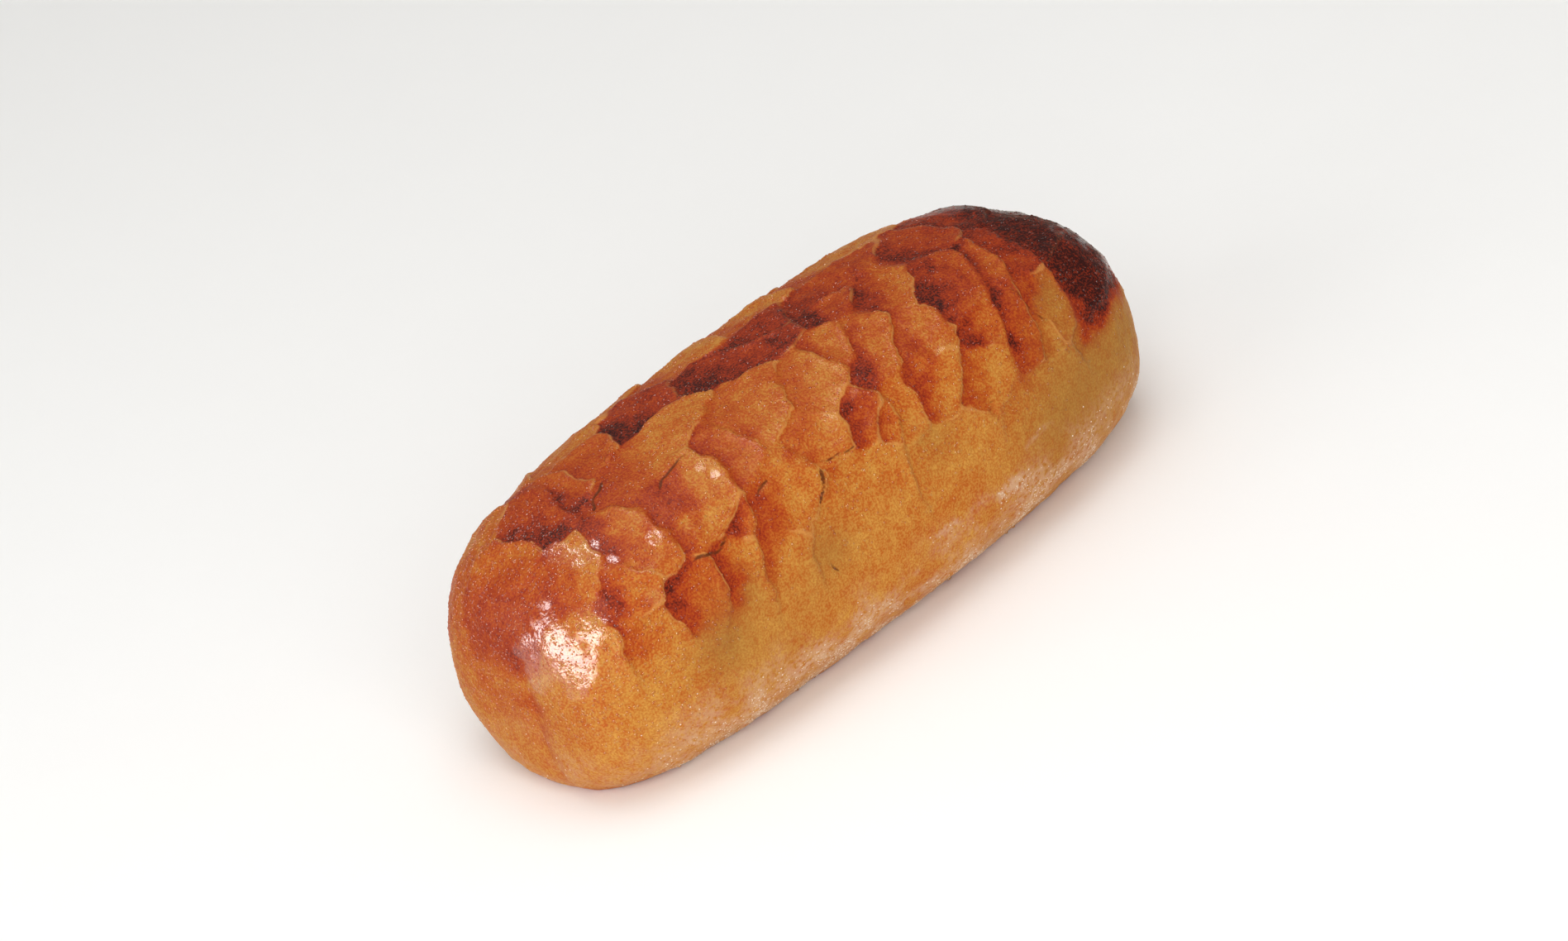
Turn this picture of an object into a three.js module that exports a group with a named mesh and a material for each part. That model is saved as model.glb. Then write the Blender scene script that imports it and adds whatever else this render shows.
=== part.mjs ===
import * as THREE from 'three';

// A whole oval loaf of bread, baked free-standing on a flat floor: one closed crust.
// Millimetres. +X runs along the loaf to its far end, +Z is up, and -Y is the side whose crust was read.
// The origin is the middle of the flat base.

// Loaf body
const LENGTH = 255;
const WIDTH = 110;
const HEIGHT = 89;
// Height of the widest girth, as a share of the full height.
const BELLY_SHARE = 0.33;
// The lower half would reach this many belly heights down if the floor did not cut it flat.
const UNDERCUT = 1.35;
// Superellipse exponents: 2 is round, larger is squarer.
const NEAR_END_BLUNTNESS = 5.07;
const FAR_END_BLUNTNESS = 3.98;
const CROWN_SQUARENESS = 2.58;
const UNDERSIDE_SQUARENESS = 2;
// Width and crown height left at each end, as shares of the middle's.
const NEAR_END_TAPER = 0.9;
const FAR_END_TAPER = 0.89;

// Crust plates: shallow dished scales that lie like shingles, low toward the near end,
// with a raised lip away from it.
const PLATE_TILT = 0.95;
const PLATE_DISH = 0.75;
const PLATE_BLEND = 1.5;
const LIP_HEADING = -24;
const LIFT_SPREAD = 0.35;
// The plates fade out between these two heights, because the lower side is smooth.
const PLATES_START = 36;
const PLATES_FULL = 62;

// Plates read along the near side: x, girth angle (0 level, 90 crown), half length, half width, lean.
const READ_PLATES = [
  [-113, 97, 9, 9, 0],
  [-95, 99, 15, 9, 80],
  [-81, 97, 10, 6, 90],
  [-67, 103, 11, 8, 20],
  [-43, 104, 16, 10, 0],
  [-8, 95, 23, 9, -18],
  [38, 100, 19, 8, 0],
  [72, 91, 13, 8, 0],
  [93, 98, 9, 8, 90],
  [-56, 83, 25, 10, 12],
  [-104, 70, 12, 9, 70],
  [-87, 62, 16, 8, -70],
  [-63, 57, 16, 13, 60],
  [-40, 62, 13, 8, 75],
  [-22, 74, 16, 11, 50],
  [-3, 64, 17, 9, 58],
  [14, 74, 9, 8, 40],
  [24, 64, 14, 8, 45],
  [27, 85, 10, 7, -10],
  [46, 80, 15, 10, 50],
  [37, 57, 10, 9, 40],
  [60, 69, 17, 10, 60],
  [78, 71, 12, 5, 75],
  [88, 70, 15, 5, 85],
  [100, 72, 15, 8, 80],
  [100, 45, 14, 8, 75],
  [-99, 47, 10, 8, 90],
  [-56, 44, 7, 4, 50],
  [-37, 41, 15, 10, 25],
  [-13, 52, 10, 8, 30],
  [2, 48, 6, 6, 0],
  [8, 43, 5, 4, 90],
  [16, 41, 9, 5, 90],
  [31, 43, 11, 9, 70],
  [57, 48, 9, 7, 20],
  [48, 36, 11, 9, 50],
  [68, 42, 14, 5, 70],
  [86, 46, 12, 9, 80],
  [77, 35, 6, 3, 60],
  [-114, 32, 12, 6, 90],
  [-98, 25, 14, 9, 90],
  [-81, 34, 10, 9, 30],
  [-64, 30, 13, 7, 80],
  [-48, 26, 13, 7, 80],
  [-12, 22, 19, 17, 0],
];

// Elsewhere the plates follow a staggered, jittered lattice over the crown, the back and the ends.
const LATTICE_STEP = 20;
const LATTICE_GIRTHS = 8;
const LATTICE_LOWEST_GIRTH = 28;
const LATTICE_HIGHEST_GIRTH = 152;
const LATTICE_REACH = 118;
const LATTICE_JITTER = 8;
const LATTICE_HALF_LENGTHS = [9, 15];
const LATTICE_HALF_WIDTHS = [6, 10];
const LATTICE_CLEARANCE = 7.5;

// Wandering of the plate edges: broad and fine, each with a noise layer for every axis.
const WANDER_CELL = 14;
const WANDER = 2.4;
const WANDER_LAYERS = [0, 1, 2];
const RIPPLE_CELL = 5;
const RIPPLE = 0.8;
const RIPPLE_LAYERS = [3, 4, 5];

// A tuck runs down each end, where the rolled dough was closed.
const NEAR_TUCK_DEPTH = 3.2;
const FAR_TUCK_DEPTH = 1.6;
const TUCK_HALF_WIDTH = 5;
const TUCK_TOP_FULL = 34;
const TUCK_TOP_END = 60;
const TUCK_REACH = 24;

// The floury rim above the base is slightly lumpy.
const RIM_HEIGHT = 14;
const RIM_START = 2;
const RIM_LUMP = 0.5;
const RIM_CELL = 7;
const RIM_LAYER = 6;

// Facets over the crown, along and across, and down the side; the first and last few along it round the ends.
const FACETS_ALONG = 68;
const END_FACETS = 13;
const FACETS_ACROSS = 28;
const FACETS_DOWN = 19;
// The crown's grid ends this far round from upright.
const CROWN_EDGE = Math.PI / 4;
const SEARCH_STEPS = 50;

// Whole numbers that scatter the lattice of the noise.
const HASH_X = 73856093;
const HASH_Y = 19349663;
const HASH_Z = 83492791;
const HASH_MIX = 1274126177;
const HASH_FIRST_SHIFT = 13;
const HASH_LAST_SHIFT = 16;
const HASH_RANGE = 2 ** 32;

const HALF_LENGTH = LENGTH / 2;
const HALF_WIDTH = WIDTH / 2;
const BELLY_HEIGHT = HEIGHT * BELLY_SHARE;
const CROWN_RISE = HEIGHT - BELLY_HEIGHT;
const BELLY_DROP = BELLY_HEIGHT * UNDERCUT;
// The rays that place the facets start on a spine this far each way from the middle.
const SPINE = HALF_LENGTH - HALF_WIDTH;

// Girth angle of the crown, and the turn from along a plate to across it.
const QUARTER_TURN = 90;

const { smoothstep, lerp, degToRad } = THREE.MathUtils;

// Draws the ends in and sets the section on the floor.
function taperAndLift(p) {
  const along = p.x / HALF_LENGTH;
  const endTaper = along < 0 ? NEAR_END_TAPER : FAR_END_TAPER;
  const taper = 1 + (endTaper - 1) * along * along;
  p.y *= taper;
  if (p.z > 0) p.z *= taper;
  p.z += BELLY_HEIGHT;
  return p;
}

// Over 1 outside the smooth loaf and under 1 inside it, before the ends are drawn in.
function fullness(x, y, z) {
  const squareness = z >= 0 ? CROWN_SQUARENESS : UNDERSIDE_SQUARENESS;
  const bluntness = x < 0 ? NEAR_END_BLUNTNESS : FAR_END_BLUNTNESS;
  const across = Math.abs(y / HALF_WIDTH) ** squareness;
  const upright = Math.abs(z / (z >= 0 ? CROWN_RISE : BELLY_DROP)) ** squareness;
  return Math.abs(x / HALF_LENGTH) ** bluntness + (across + upright) ** (bluntness / squareness);
}

// Halves a span of distances until a test that turns true with distance turns at the result.
function searchDistance(isPast) {
  let low = 0;
  let high = LENGTH;
  for (let step = 0; step < SEARCH_STEPS; step++) {
    const middle = (low + high) / 2;
    if (isPast(middle)) high = middle;
    else low = middle;
  }
  return (low + high) / 2;
}

// The point of the smooth loaf that a ray from its spine meets.
function bodyPoint(spine, direction) {
  const at = (reach) => direction.clone().multiplyScalar(reach).add(new THREE.Vector3(spine, 0, 0));
  return taperAndLift(at(searchDistance((reach) => fullness(...at(reach)) > 1)));
}

// The point of the smooth loaf at a distance along it and an angle round its girth, on the -Y side below 90.
function girthPoint(x, girth) {
  const bluntness = x < 0 ? NEAR_END_BLUNTNESS : FAR_END_BLUNTNESS;
  const section = (1 - Math.abs(x / HALF_LENGTH) ** bluntness) ** (1 / bluntness);
  const level = Math.cos(degToRad(girth));
  const upright = Math.sin(degToRad(girth));
  const across = Math.abs(level / HALF_WIDTH) ** CROWN_SQUARENESS;
  const up = Math.abs(upright / CROWN_RISE) ** CROWN_SQUARENESS;
  const reach = section * (across + up) ** (-1 / CROWN_SQUARENESS);
  return taperAndLift(new THREE.Vector3(x, -reach * level, reach * upright));
}

// A repeatable number from 0 to 1 for one point of a whole-number lattice.
function latticeValue(ix, iy, iz) {
  let h = Math.imul(ix, HASH_X) ^ Math.imul(iy, HASH_Y) ^ Math.imul(iz, HASH_Z);
  h = Math.imul(h ^ (h >>> HASH_FIRST_SHIFT), HASH_MIX);
  return ((h ^ (h >>> HASH_LAST_SHIFT)) >>> 0) / HASH_RANGE;
}

// Smooth noise from -1 to 1; each layer number gives another pattern.
function noise(p, cell, layer) {
  const place = p.toArray().map((value) => value / cell);
  const corner = place.map(Math.floor);
  const ease = place.map((value, i) => smoothstep(value - corner[i], 0, 1));
  let sum = 0;
  for (let i = 0; i < 2; i++) {
    for (let j = 0; j < 2; j++) {
      for (let k = 0; k < 2; k++) {
        const share = [i, j, k].reduce((part, side, n) => part * (side ? ease[n] : 1 - ease[n]), 1);
        sum += share * latticeValue(corner[0] + i, corner[1] + j, corner[2] + k + layer * HASH_MIX);
      }
    }
  }
  return 2 * sum - 1;
}

// One plate: its centre, its own axes along and across its lean, its lip direction and its reach.
function makePlate([x, girth, halfLength, halfWidth, lean], number) {
  const centre = girthPoint(x, girth);
  const alongLoaf = girthPoint(x + 1, girth).sub(girthPoint(x - 1, girth)).normalize();
  const upGirth = girthPoint(x, girth + 1).sub(girthPoint(x, girth - 1)).normalize();
  const outward = alongLoaf.clone().cross(upGirth).normalize();
  const turned = (angle) => alongLoaf.clone().applyAxisAngle(outward, degToRad(angle));
  return {
    centre,
    outward,
    along: turned(lean),
    across: turned(lean + QUARTER_TURN),
    lip: turned(girth > QUARTER_TURN ? -LIP_HEADING : LIP_HEADING),
    halfLength,
    halfWidth,
    size: Math.sqrt(halfLength * halfWidth),
    lift: LIFT_SPREAD * (2 * latticeValue(number, 0, 0) - 1),
  };
}

// The distance from a plate's rim, negative inside it, in millimetres of its own size.
function rimDistance(plate, offset) {
  const stretched = Math.hypot(
    offset.dot(plate.along) / plate.halfLength,
    offset.dot(plate.across) / plate.halfWidth,
    offset.dot(plate.outward) / plate.size,
  );
  return (stretched - 1) * plate.size;
}

// The read plates, and the lattice's wherever none of them lies.
function layPlates() {
  const plates = READ_PLATES.map(makePlate);
  for (let row = 0; row < LATTICE_GIRTHS; row++) {
    const girth = lerp(LATTICE_LOWEST_GIRTH, LATTICE_HIGHEST_GIRTH, row / (LATTICE_GIRTHS - 1));
    const stagger = (row % 2) * LATTICE_STEP / 2;
    for (let x = stagger - LATTICE_REACH; x <= LATTICE_REACH; x += LATTICE_STEP) {
      const [slide, climb, length, width, turn] = [0, 1, 2, 3, 4].map((draw) => latticeValue(row, x, draw));
      const spare = makePlate([
        THREE.MathUtils.clamp(x + LATTICE_JITTER * (2 * slide - 1), -LATTICE_REACH, LATTICE_REACH),
        girth + LATTICE_JITTER * (2 * climb - 1),
        lerp(...LATTICE_HALF_LENGTHS, length),
        lerp(...LATTICE_HALF_WIDTHS, width),
        2 * QUARTER_TURN * turn,
      ], plates.length);
      const gap = (plate) => rimDistance(plate, spare.centre.clone().sub(plate.centre));
      const taken = plates.some((plate) => gap(plate) < LATTICE_CLEARANCE);
      if (!taken) plates.push(spare);
    }
  }
  return plates;
}

// Height of the plated crust over the smooth loaf.
function plateRelief(p, plates) {
  const wander = WANDER_LAYERS.map((layer) => WANDER * noise(p, WANDER_CELL, layer));
  const ripple = RIPPLE_LAYERS.map((layer) => RIPPLE * noise(p, RIPPLE_CELL, layer));
  const place = p.clone().add(new THREE.Vector3(...wander)).add(new THREE.Vector3(...ripple));
  const near = plates.map((plate) => {
    const offset = place.clone().sub(plate.centre);
    const rim = rimDistance(plate, offset);
    const rise = THREE.MathUtils.clamp(offset.dot(plate.lip) / plate.size, -1, 1);
    const hollow = Math.max(1 - offset.lengthSq() / plate.size ** 2, 0);
    return { rim, height: plate.lift + PLATE_TILT * rise - PLATE_DISH * hollow };
  });
  const closest = Math.min(...near.map(({ rim }) => rim));
  let weight = 0;
  let height = 0;
  for (const plate of near) {
    const share = Math.exp((closest - plate.rim) / PLATE_BLEND);
    weight += share;
    height += share * plate.height;
  }
  return height / weight;
}

// How far the crust stands out from the smooth loaf along its normal.
function relief(p, plates) {
  const plated = smoothstep(p.z, PLATES_START, PLATES_FULL);
  const rim = smoothstep(p.z, RIM_START, RIM_HEIGHT / 2) * (1 - smoothstep(p.z, RIM_HEIGHT / 2, RIM_HEIGHT));
  return plated * plateRelief(p, plates) + rim * RIM_LUMP * noise(p, RIM_CELL, RIM_LAYER);
}

// How far the tuck at the nearer end draws the crust in, level with the floor.
function tuck(p) {
  const width = Math.exp(-((p.y / TUCK_HALF_WIDTH) ** 2));
  const top = 1 - smoothstep(p.z, TUCK_TOP_FULL, TUCK_TOP_END);
  const end = smoothstep(Math.abs(p.x), HALF_LENGTH - TUCK_REACH, HALF_LENGTH);
  const inward = p.x < 0 ? NEAR_TUCK_DEPTH : -FAR_TUCK_DEPTH;
  return inward * width * top * end;
}

// How a grid column stands: its place on the spine and its level run for each unit of rise.
function columnStance(i, j) {
  const inEnd = Math.max(END_FACETS - i, i - (FACETS_ALONG - END_FACETS), 0) / END_FACETS;
  const middle = (i - END_FACETS) / (FACETS_ALONG - 2 * END_FACETS);
  return {
    spine: SPINE * THREE.MathUtils.clamp(2 * middle - 1, -1, 1),
    runX: Math.sign(middle) * Math.tan(CROWN_EDGE * inEnd),
    runY: Math.tan(CROWN_EDGE * (2 * j / FACETS_ACROSS - 1)),
  };
}

// The angle under level at which a ray in a column's plan direction meets the outline of the base.
function baseAngle({ spine, runX, runY }) {
  const run = Math.hypot(runX, runY);
  const isOutside = (reach) => fullness(spine + reach * runX / run, reach * runY / run, -BELLY_HEIGHT) > 1;
  return Math.atan2(-BELLY_HEIGHT, searchDistance(isOutside));
}

// The grid column that lies at a place round the crown's edge, counted anticlockwise from above.
function edgeColumn(place) {
  const sides = [
    [FACETS_ALONG, (k) => [k, 0]],
    [FACETS_ACROSS, (k) => [FACETS_ALONG, k]],
    [FACETS_ALONG, (k) => [FACETS_ALONG - k, FACETS_ACROSS]],
    [FACETS_ACROSS, (k) => [0, FACETS_ACROSS - k]],
  ];
  let left = place;
  for (const [count, column] of sides) {
    if (left < count) return column(left);
    left -= count;
  }
  return sides[0][1](0);
}

// The smooth dome: a grid over the crown whose edge is carried down the sides to the base.
function makeDome() {
  const points = [];
  const triangles = [];
  const crownIndex = (i, j) => j * (FACETS_ALONG + 1) + i;
  for (let j = 0; j <= FACETS_ACROSS; j++) {
    for (let i = 0; i <= FACETS_ALONG; i++) {
      const { spine, runX, runY } = columnStance(i, j);
      points.push(bodyPoint(spine, new THREE.Vector3(runX, runY, 1).normalize()));
    }
  }
  const quad = (a, b, c, d) => triangles.push(a, b, c, a, c, d);
  for (let j = 0; j < FACETS_ACROSS; j++) {
    for (let i = 0; i < FACETS_ALONG; i++) {
      quad(crownIndex(i, j), crownIndex(i + 1, j), crownIndex(i + 1, j + 1), crownIndex(i, j + 1));
    }
  }
  const edgeCount = 2 * (FACETS_ALONG + FACETS_ACROSS);
  let above = [];
  for (let place = 0; place < edgeCount; place++) above.push(crownIndex(...edgeColumn(place)));
  for (let row = 1; row <= FACETS_DOWN; row++) {
    const below = [];
    for (let place = 0; place < edgeCount; place++) {
      const stance = columnStance(...edgeColumn(place));
      const run = Math.hypot(stance.runX, stance.runY);
      const angle = lerp(Math.atan2(1, run), baseAngle(stance), row / FACETS_DOWN);
      const level = Math.cos(angle) / run;
      const direction = new THREE.Vector3(level * stance.runX, level * stance.runY, Math.sin(angle));
      below.push(points.length);
      points.push(bodyPoint(stance.spine, direction));
    }
    for (let place = 0; place < edgeCount; place++) {
      const next = (place + 1) % edgeCount;
      quad(above[place], below[place], below[next], above[next]);
    }
    above = below;
  }
  return { points, triangles, baseRing: above };
}

// The whole crust: the dome with its relief and tucks, closed by a flat fan.
function makeLoaf() {
  const { points, triangles, baseRing } = makeDome();
  const smooth = new THREE.BufferGeometry().setFromPoints(points);
  smooth.setIndex(triangles);
  smooth.computeVertexNormals();
  const normals = smooth.getAttribute('normal');
  const plates = layPlates();
  const onBase = new Set(baseRing);
  const crust = points.map((p, i) => {
    const moved = p.clone();
    if (onBase.has(i)) moved.z = 0;
    else moved.addScaledVector(new THREE.Vector3().fromBufferAttribute(normals, i), relief(p, plates));
    moved.x += tuck(p);
    return moved;
  });
  const centre = crust.length;
  crust.push(new THREE.Vector3(0, 0, 0));
  baseRing.forEach((corner, place) => {
    triangles.push(centre, baseRing[(place + 1) % baseRing.length], corner);
  });
  const closed = new THREE.BufferGeometry().setFromPoints(crust);
  closed.setIndex(triangles);
  closed.computeVertexNormals();
  return closed;
}

const crustMaterial = new THREE.MeshStandardMaterial({ color: '#b9662a', roughness: 0.45 });
const loaf = new THREE.Mesh(makeLoaf(), crustMaterial);
loaf.name = 'loaf';

const part = new THREE.Group();
part.add(loaf);

export default part;
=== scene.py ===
# %% [markdown]
# # A whole oval loaf of bread
# The real thing is one piece of dough, rolled to a short fat log, tucked in at both ends and baked on a
# flat oven floor. Nothing on it is a separate part: every detail is in the crust. The crown has crackled
# into shallow plates that lie like shingles, browned almost black in places, while the lower side stayed
# smooth and golden, and a little flour clings just above the floor.
#
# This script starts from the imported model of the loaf, which fixes its size and place, and builds a much
# finer crust in exactly the same spot. Blender works in metres; the crust is worked out in millimetres,
# as a baker would measure it, and turned into metres when its mesh is made.

import itertools
import math

import bpy
import numpy as np
from mathutils import Matrix, Vector


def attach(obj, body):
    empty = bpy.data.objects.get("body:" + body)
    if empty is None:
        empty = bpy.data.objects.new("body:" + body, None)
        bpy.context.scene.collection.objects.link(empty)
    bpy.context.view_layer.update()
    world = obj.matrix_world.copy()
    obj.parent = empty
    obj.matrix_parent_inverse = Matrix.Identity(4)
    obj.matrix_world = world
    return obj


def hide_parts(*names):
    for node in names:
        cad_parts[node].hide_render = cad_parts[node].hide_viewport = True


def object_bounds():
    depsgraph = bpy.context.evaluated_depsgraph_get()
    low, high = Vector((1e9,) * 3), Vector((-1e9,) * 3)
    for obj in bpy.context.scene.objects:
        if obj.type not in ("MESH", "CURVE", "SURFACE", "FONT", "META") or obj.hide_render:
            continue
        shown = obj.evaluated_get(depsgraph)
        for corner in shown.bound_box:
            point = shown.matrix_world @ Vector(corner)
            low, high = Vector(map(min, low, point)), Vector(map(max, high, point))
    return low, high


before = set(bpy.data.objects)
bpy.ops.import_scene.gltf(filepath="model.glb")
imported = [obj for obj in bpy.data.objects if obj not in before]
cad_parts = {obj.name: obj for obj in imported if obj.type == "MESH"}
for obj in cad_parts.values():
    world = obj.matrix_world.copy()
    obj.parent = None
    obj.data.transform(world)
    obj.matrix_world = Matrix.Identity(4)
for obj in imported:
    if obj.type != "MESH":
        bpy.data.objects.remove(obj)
cad_box = [list(corner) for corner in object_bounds()]
MM = 0.001
print("packed loaf, mm:", [round((high - low) / MM, 1) for low, high in zip(*cad_box)])

# %% [markdown]
# ## The body's form
# A loaf is not quite an ellipsoid. Its ends are blunter than an ellipse and its crown is squarer, because
# the dough was a log before it rose. A superellipsoid covers this: the same sum as an ellipsoid's, with
# powers above 2 that push the form outward into its box. Another way would be to sculpt it, but a formula
# gives the same form at any fineness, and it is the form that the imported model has.

# %% Sizes of the body, in millimetres
LENGTH = 255.0
WIDTH = 110.0
HEIGHT = 89.0
BELLY_SHARE = 0.33
UNDERCUT = 1.35
NEAR_END_BLUNTNESS = 5.07
FAR_END_BLUNTNESS = 3.98
CROWN_SQUARENESS = 2.58
UNDERSIDE_SQUARENESS = 2.0
NEAR_END_TAPER = 0.90
FAR_END_TAPER = 0.89

HALF_LENGTH = LENGTH / 2
HALF_WIDTH = WIDTH / 2
BELLY_HEIGHT = HEIGHT * BELLY_SHARE
CROWN_RISE = HEIGHT - BELLY_HEIGHT
BELLY_DROP = BELLY_HEIGHT * UNDERCUT


def smoothstep(value, low, high):
    """Rises smoothly from 0 at low to 1 at high."""
    share = np.clip((value - low) / (high - low), 0, 1)
    return share * share * (3 - 2 * share)


def fullness(points):
    """Over 1 outside the smooth loaf and under 1 inside it, before the ends are drawn in."""
    x, y, z = np.abs(points).T
    upper = points[:, 2] >= 0
    squareness = np.where(upper, CROWN_SQUARENESS, UNDERSIDE_SQUARENESS)
    bluntness = np.where(points[:, 0] < 0, NEAR_END_BLUNTNESS, FAR_END_BLUNTNESS)
    across = (y / HALF_WIDTH) ** squareness
    upright = (z / np.where(upper, CROWN_RISE, BELLY_DROP)) ** squareness
    return (x / HALF_LENGTH) ** bluntness + (across + upright) ** (bluntness / squareness)


def taper_and_lift(points):
    """Draws the ends in and sets the section on the floor."""
    along = points[:, 0] / HALF_LENGTH
    end_taper = np.where(along < 0, NEAR_END_TAPER, FAR_END_TAPER)
    taper = 1 + (end_taper - 1) * along**2
    x, y, z = points.T
    return np.stack([x, y * taper, np.where(z > 0, z * taper, z) + BELLY_HEIGHT], axis=1)


SEARCH_STEPS = 40


def search_distance(is_past, count):
    """Halves a span of distances until each one sits where its test turns true."""
    low = np.zeros(count)
    high = np.full(count, LENGTH)
    for _ in range(SEARCH_STEPS):
        middle = (low + high) / 2
        past = is_past(middle)
        high = np.where(past, middle, high)
        low = np.where(past, low, middle)
    return (low + high) / 2


def body_points(starts, directions):
    """Where rays from the loaf's spine meet its smooth surface."""
    at = lambda reach: starts + directions * reach[:, None]
    reach = search_distance(lambda r: fullness(at(r)) > 1, len(starts))
    return taper_and_lift(at(reach))


def girth_point(x, girth):
    """The smooth surface at x and an angle round the loaf: 0 level on the near side, 90 the crown."""
    bluntness = NEAR_END_BLUNTNESS if x < 0 else FAR_END_BLUNTNESS
    section = (1 - abs(x / HALF_LENGTH) ** bluntness) ** (1 / bluntness)
    level, upright = math.cos(math.radians(girth)), math.sin(math.radians(girth))
    squareness = CROWN_SQUARENESS if upright >= 0 else UNDERSIDE_SQUARENESS
    across = abs(level / HALF_WIDTH) ** squareness
    rise = abs(upright / (CROWN_RISE if upright >= 0 else BELLY_DROP)) ** squareness
    reach = section * (across + rise) ** (-1 / squareness)
    return taper_and_lift(np.array([[x, -reach * level, reach * upright]]))[0]


print("belly at", round(BELLY_HEIGHT, 1), "mm; crown at", round(CROWN_RISE + BELLY_HEIGHT, 1), "mm")

# %% [markdown]
# ## A grid of even facets
# Relief shows only as finely as the mesh is, so the facets have to be even, with no pinched poles. The
# grid is a blanket over the crown whose edge is carried down the sides to the floor, like the top and
# walls of a box. Each corner of it sends a ray from a spine inside the loaf, and the corner goes where
# the ray meets the surface. A UV sphere would be simpler, but its two poles would gather thousands of
# slivers on the ends.

# %% Lay the grid over the loaf
FACETS_ALONG = 286
END_FACETS = 56
FACETS_ACROSS = 118
FACETS_DOWN = 76
CROWN_EDGE = math.pi / 4
SPINE = HALF_LENGTH - HALF_WIDTH


def column_stance(i, j):
    """A grid column's place on the spine and its level run for each unit of rise."""
    in_end = np.maximum(np.maximum(END_FACETS - i, i - (FACETS_ALONG - END_FACETS)), 0) / END_FACETS
    middle = (i - END_FACETS) / (FACETS_ALONG - 2 * END_FACETS)
    spine = SPINE * np.clip(2 * middle - 1, -1, 1)
    run_x = np.sign(middle) * np.tan(CROWN_EDGE * in_end)
    run_y = np.tan(CROWN_EDGE * (2 * j / FACETS_ACROSS - 1))
    return spine, run_x, run_y


def spine_starts(spine):
    """Points on the spine as rows of x, y, z."""
    return np.stack([spine, 0 * spine, 0 * spine], axis=1)


def crown_points():
    """The blanket over the crown, row by row."""
    j, i = np.mgrid[0:FACETS_ACROSS + 1, 0:FACETS_ALONG + 1]
    spine, run_x, run_y = column_stance(i.ravel(), j.ravel())
    runs = np.stack([run_x, run_y, np.ones(len(spine))], axis=1)
    directions = runs / np.linalg.norm(runs, axis=1, keepdims=True)
    return body_points(spine_starts(spine), directions)


def edge_columns():
    """The columns round the blanket's edge, anticlockwise from above, as i and j."""
    along, across = np.arange(FACETS_ALONG), np.arange(FACETS_ACROSS)
    i = [along, 0 * across + FACETS_ALONG, FACETS_ALONG - along, 0 * across]
    j = [0 * along, across, 0 * along + FACETS_ACROSS, FACETS_ACROSS - across]
    return np.concatenate(i), np.concatenate(j)


def side_points(i, j):
    """The rows down the sides; the last one lies on the floor."""
    spine, run_x, run_y = column_stance(i, j)
    run = np.hypot(run_x, run_y)
    level = np.stack([run_x / run, run_y / run, 0 * run], axis=1)
    floor = spine_starts(spine) + [0, 0, -BELLY_HEIGHT]
    reach = search_distance(lambda r: fullness(floor + level * r[:, None]) > 1, len(run))
    top, bottom = np.arctan2(1, run), np.arctan2(-BELLY_HEIGHT, reach)
    rows = []
    for row in range(1, FACETS_DOWN + 1):
        angle = top + (bottom - top) * row / FACETS_DOWN
        direction = level * np.cos(angle)[:, None] + np.outer(np.sin(angle), [0, 0, 1])
        rows.append(body_points(spine_starts(spine), direction))
    rows[-1][:, 2] = 0
    return np.concatenate(rows)


def grid_faces(edge):
    """Four-sided faces of the blanket and of the sides, by point number."""
    i, j = np.meshgrid(np.arange(FACETS_ALONG), np.arange(FACETS_ACROSS))
    corner = (j * (FACETS_ALONG + 1) + i).ravel()
    next_row = corner + FACETS_ALONG + 1
    crown = np.stack([corner, corner + 1, next_row + 1, next_row], axis=1)
    first_side = (FACETS_ALONG + 1) * (FACETS_ACROSS + 1)
    rings = [edge] + [first_side + row * len(edge) + np.arange(len(edge)) for row in range(FACETS_DOWN)]
    sides = [
        np.stack([upper, lower, np.roll(lower, -1), np.roll(upper, -1)], axis=1)
        for upper, lower in itertools.pairwise(rings)
    ]
    return np.concatenate([crown, *sides]), rings[-1]


edge_i, edge_j = edge_columns()
smooth = np.concatenate([crown_points(), side_points(edge_i, edge_j)])
faces, base_ring = grid_faces(edge_j * (FACETS_ALONG + 1) + edge_i)
print(len(smooth), "grid points,", len(faces), "faces")


def point_normals(points, quads):
    """The outward direction at each point: the mean of its faces', weighted by their areas."""
    a, b, c, d = (points[quads[:, k]] for k in range(4))
    face_normals = np.cross(c - a, d - b)
    normals = np.zeros_like(points)
    for k in range(4):
        np.add.at(normals, quads[:, k], face_normals)
    return normals / np.linalg.norm(normals, axis=1, keepdims=True)


outward = point_normals(smooth, faces)

# %% [markdown]
# ## Noise that never changes
# Nature is uneven, but a model has to come out the same each time. This noise hashes whole numbers with
# plain integer sums, so it needs no random generator and gives the same plates here and in the packed
# model.

# %% Repeatable noise
HASH_X = 73856093
HASH_Y = 19349663
HASH_Z = 83492791
HASH_MIX = 1274126177
HASH_FIRST_SHIFT = 13
HASH_LAST_SHIFT = 16
HASH_RANGE = 2.0**32


def lattice_value(ix, iy, iz):
    """A repeatable number from 0 to 1 for each point of a whole-number lattice."""
    word = lambda whole: np.atleast_1d(np.asarray(whole, dtype=np.int64)).astype(np.uint32)
    h = (word(ix) * word(HASH_X)) ^ (word(iy) * word(HASH_Y)) ^ (word(iz) * word(HASH_Z))
    h = (h ^ (h >> HASH_FIRST_SHIFT)) * word(HASH_MIX)
    return (h ^ (h >> HASH_LAST_SHIFT)) / HASH_RANGE


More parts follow.
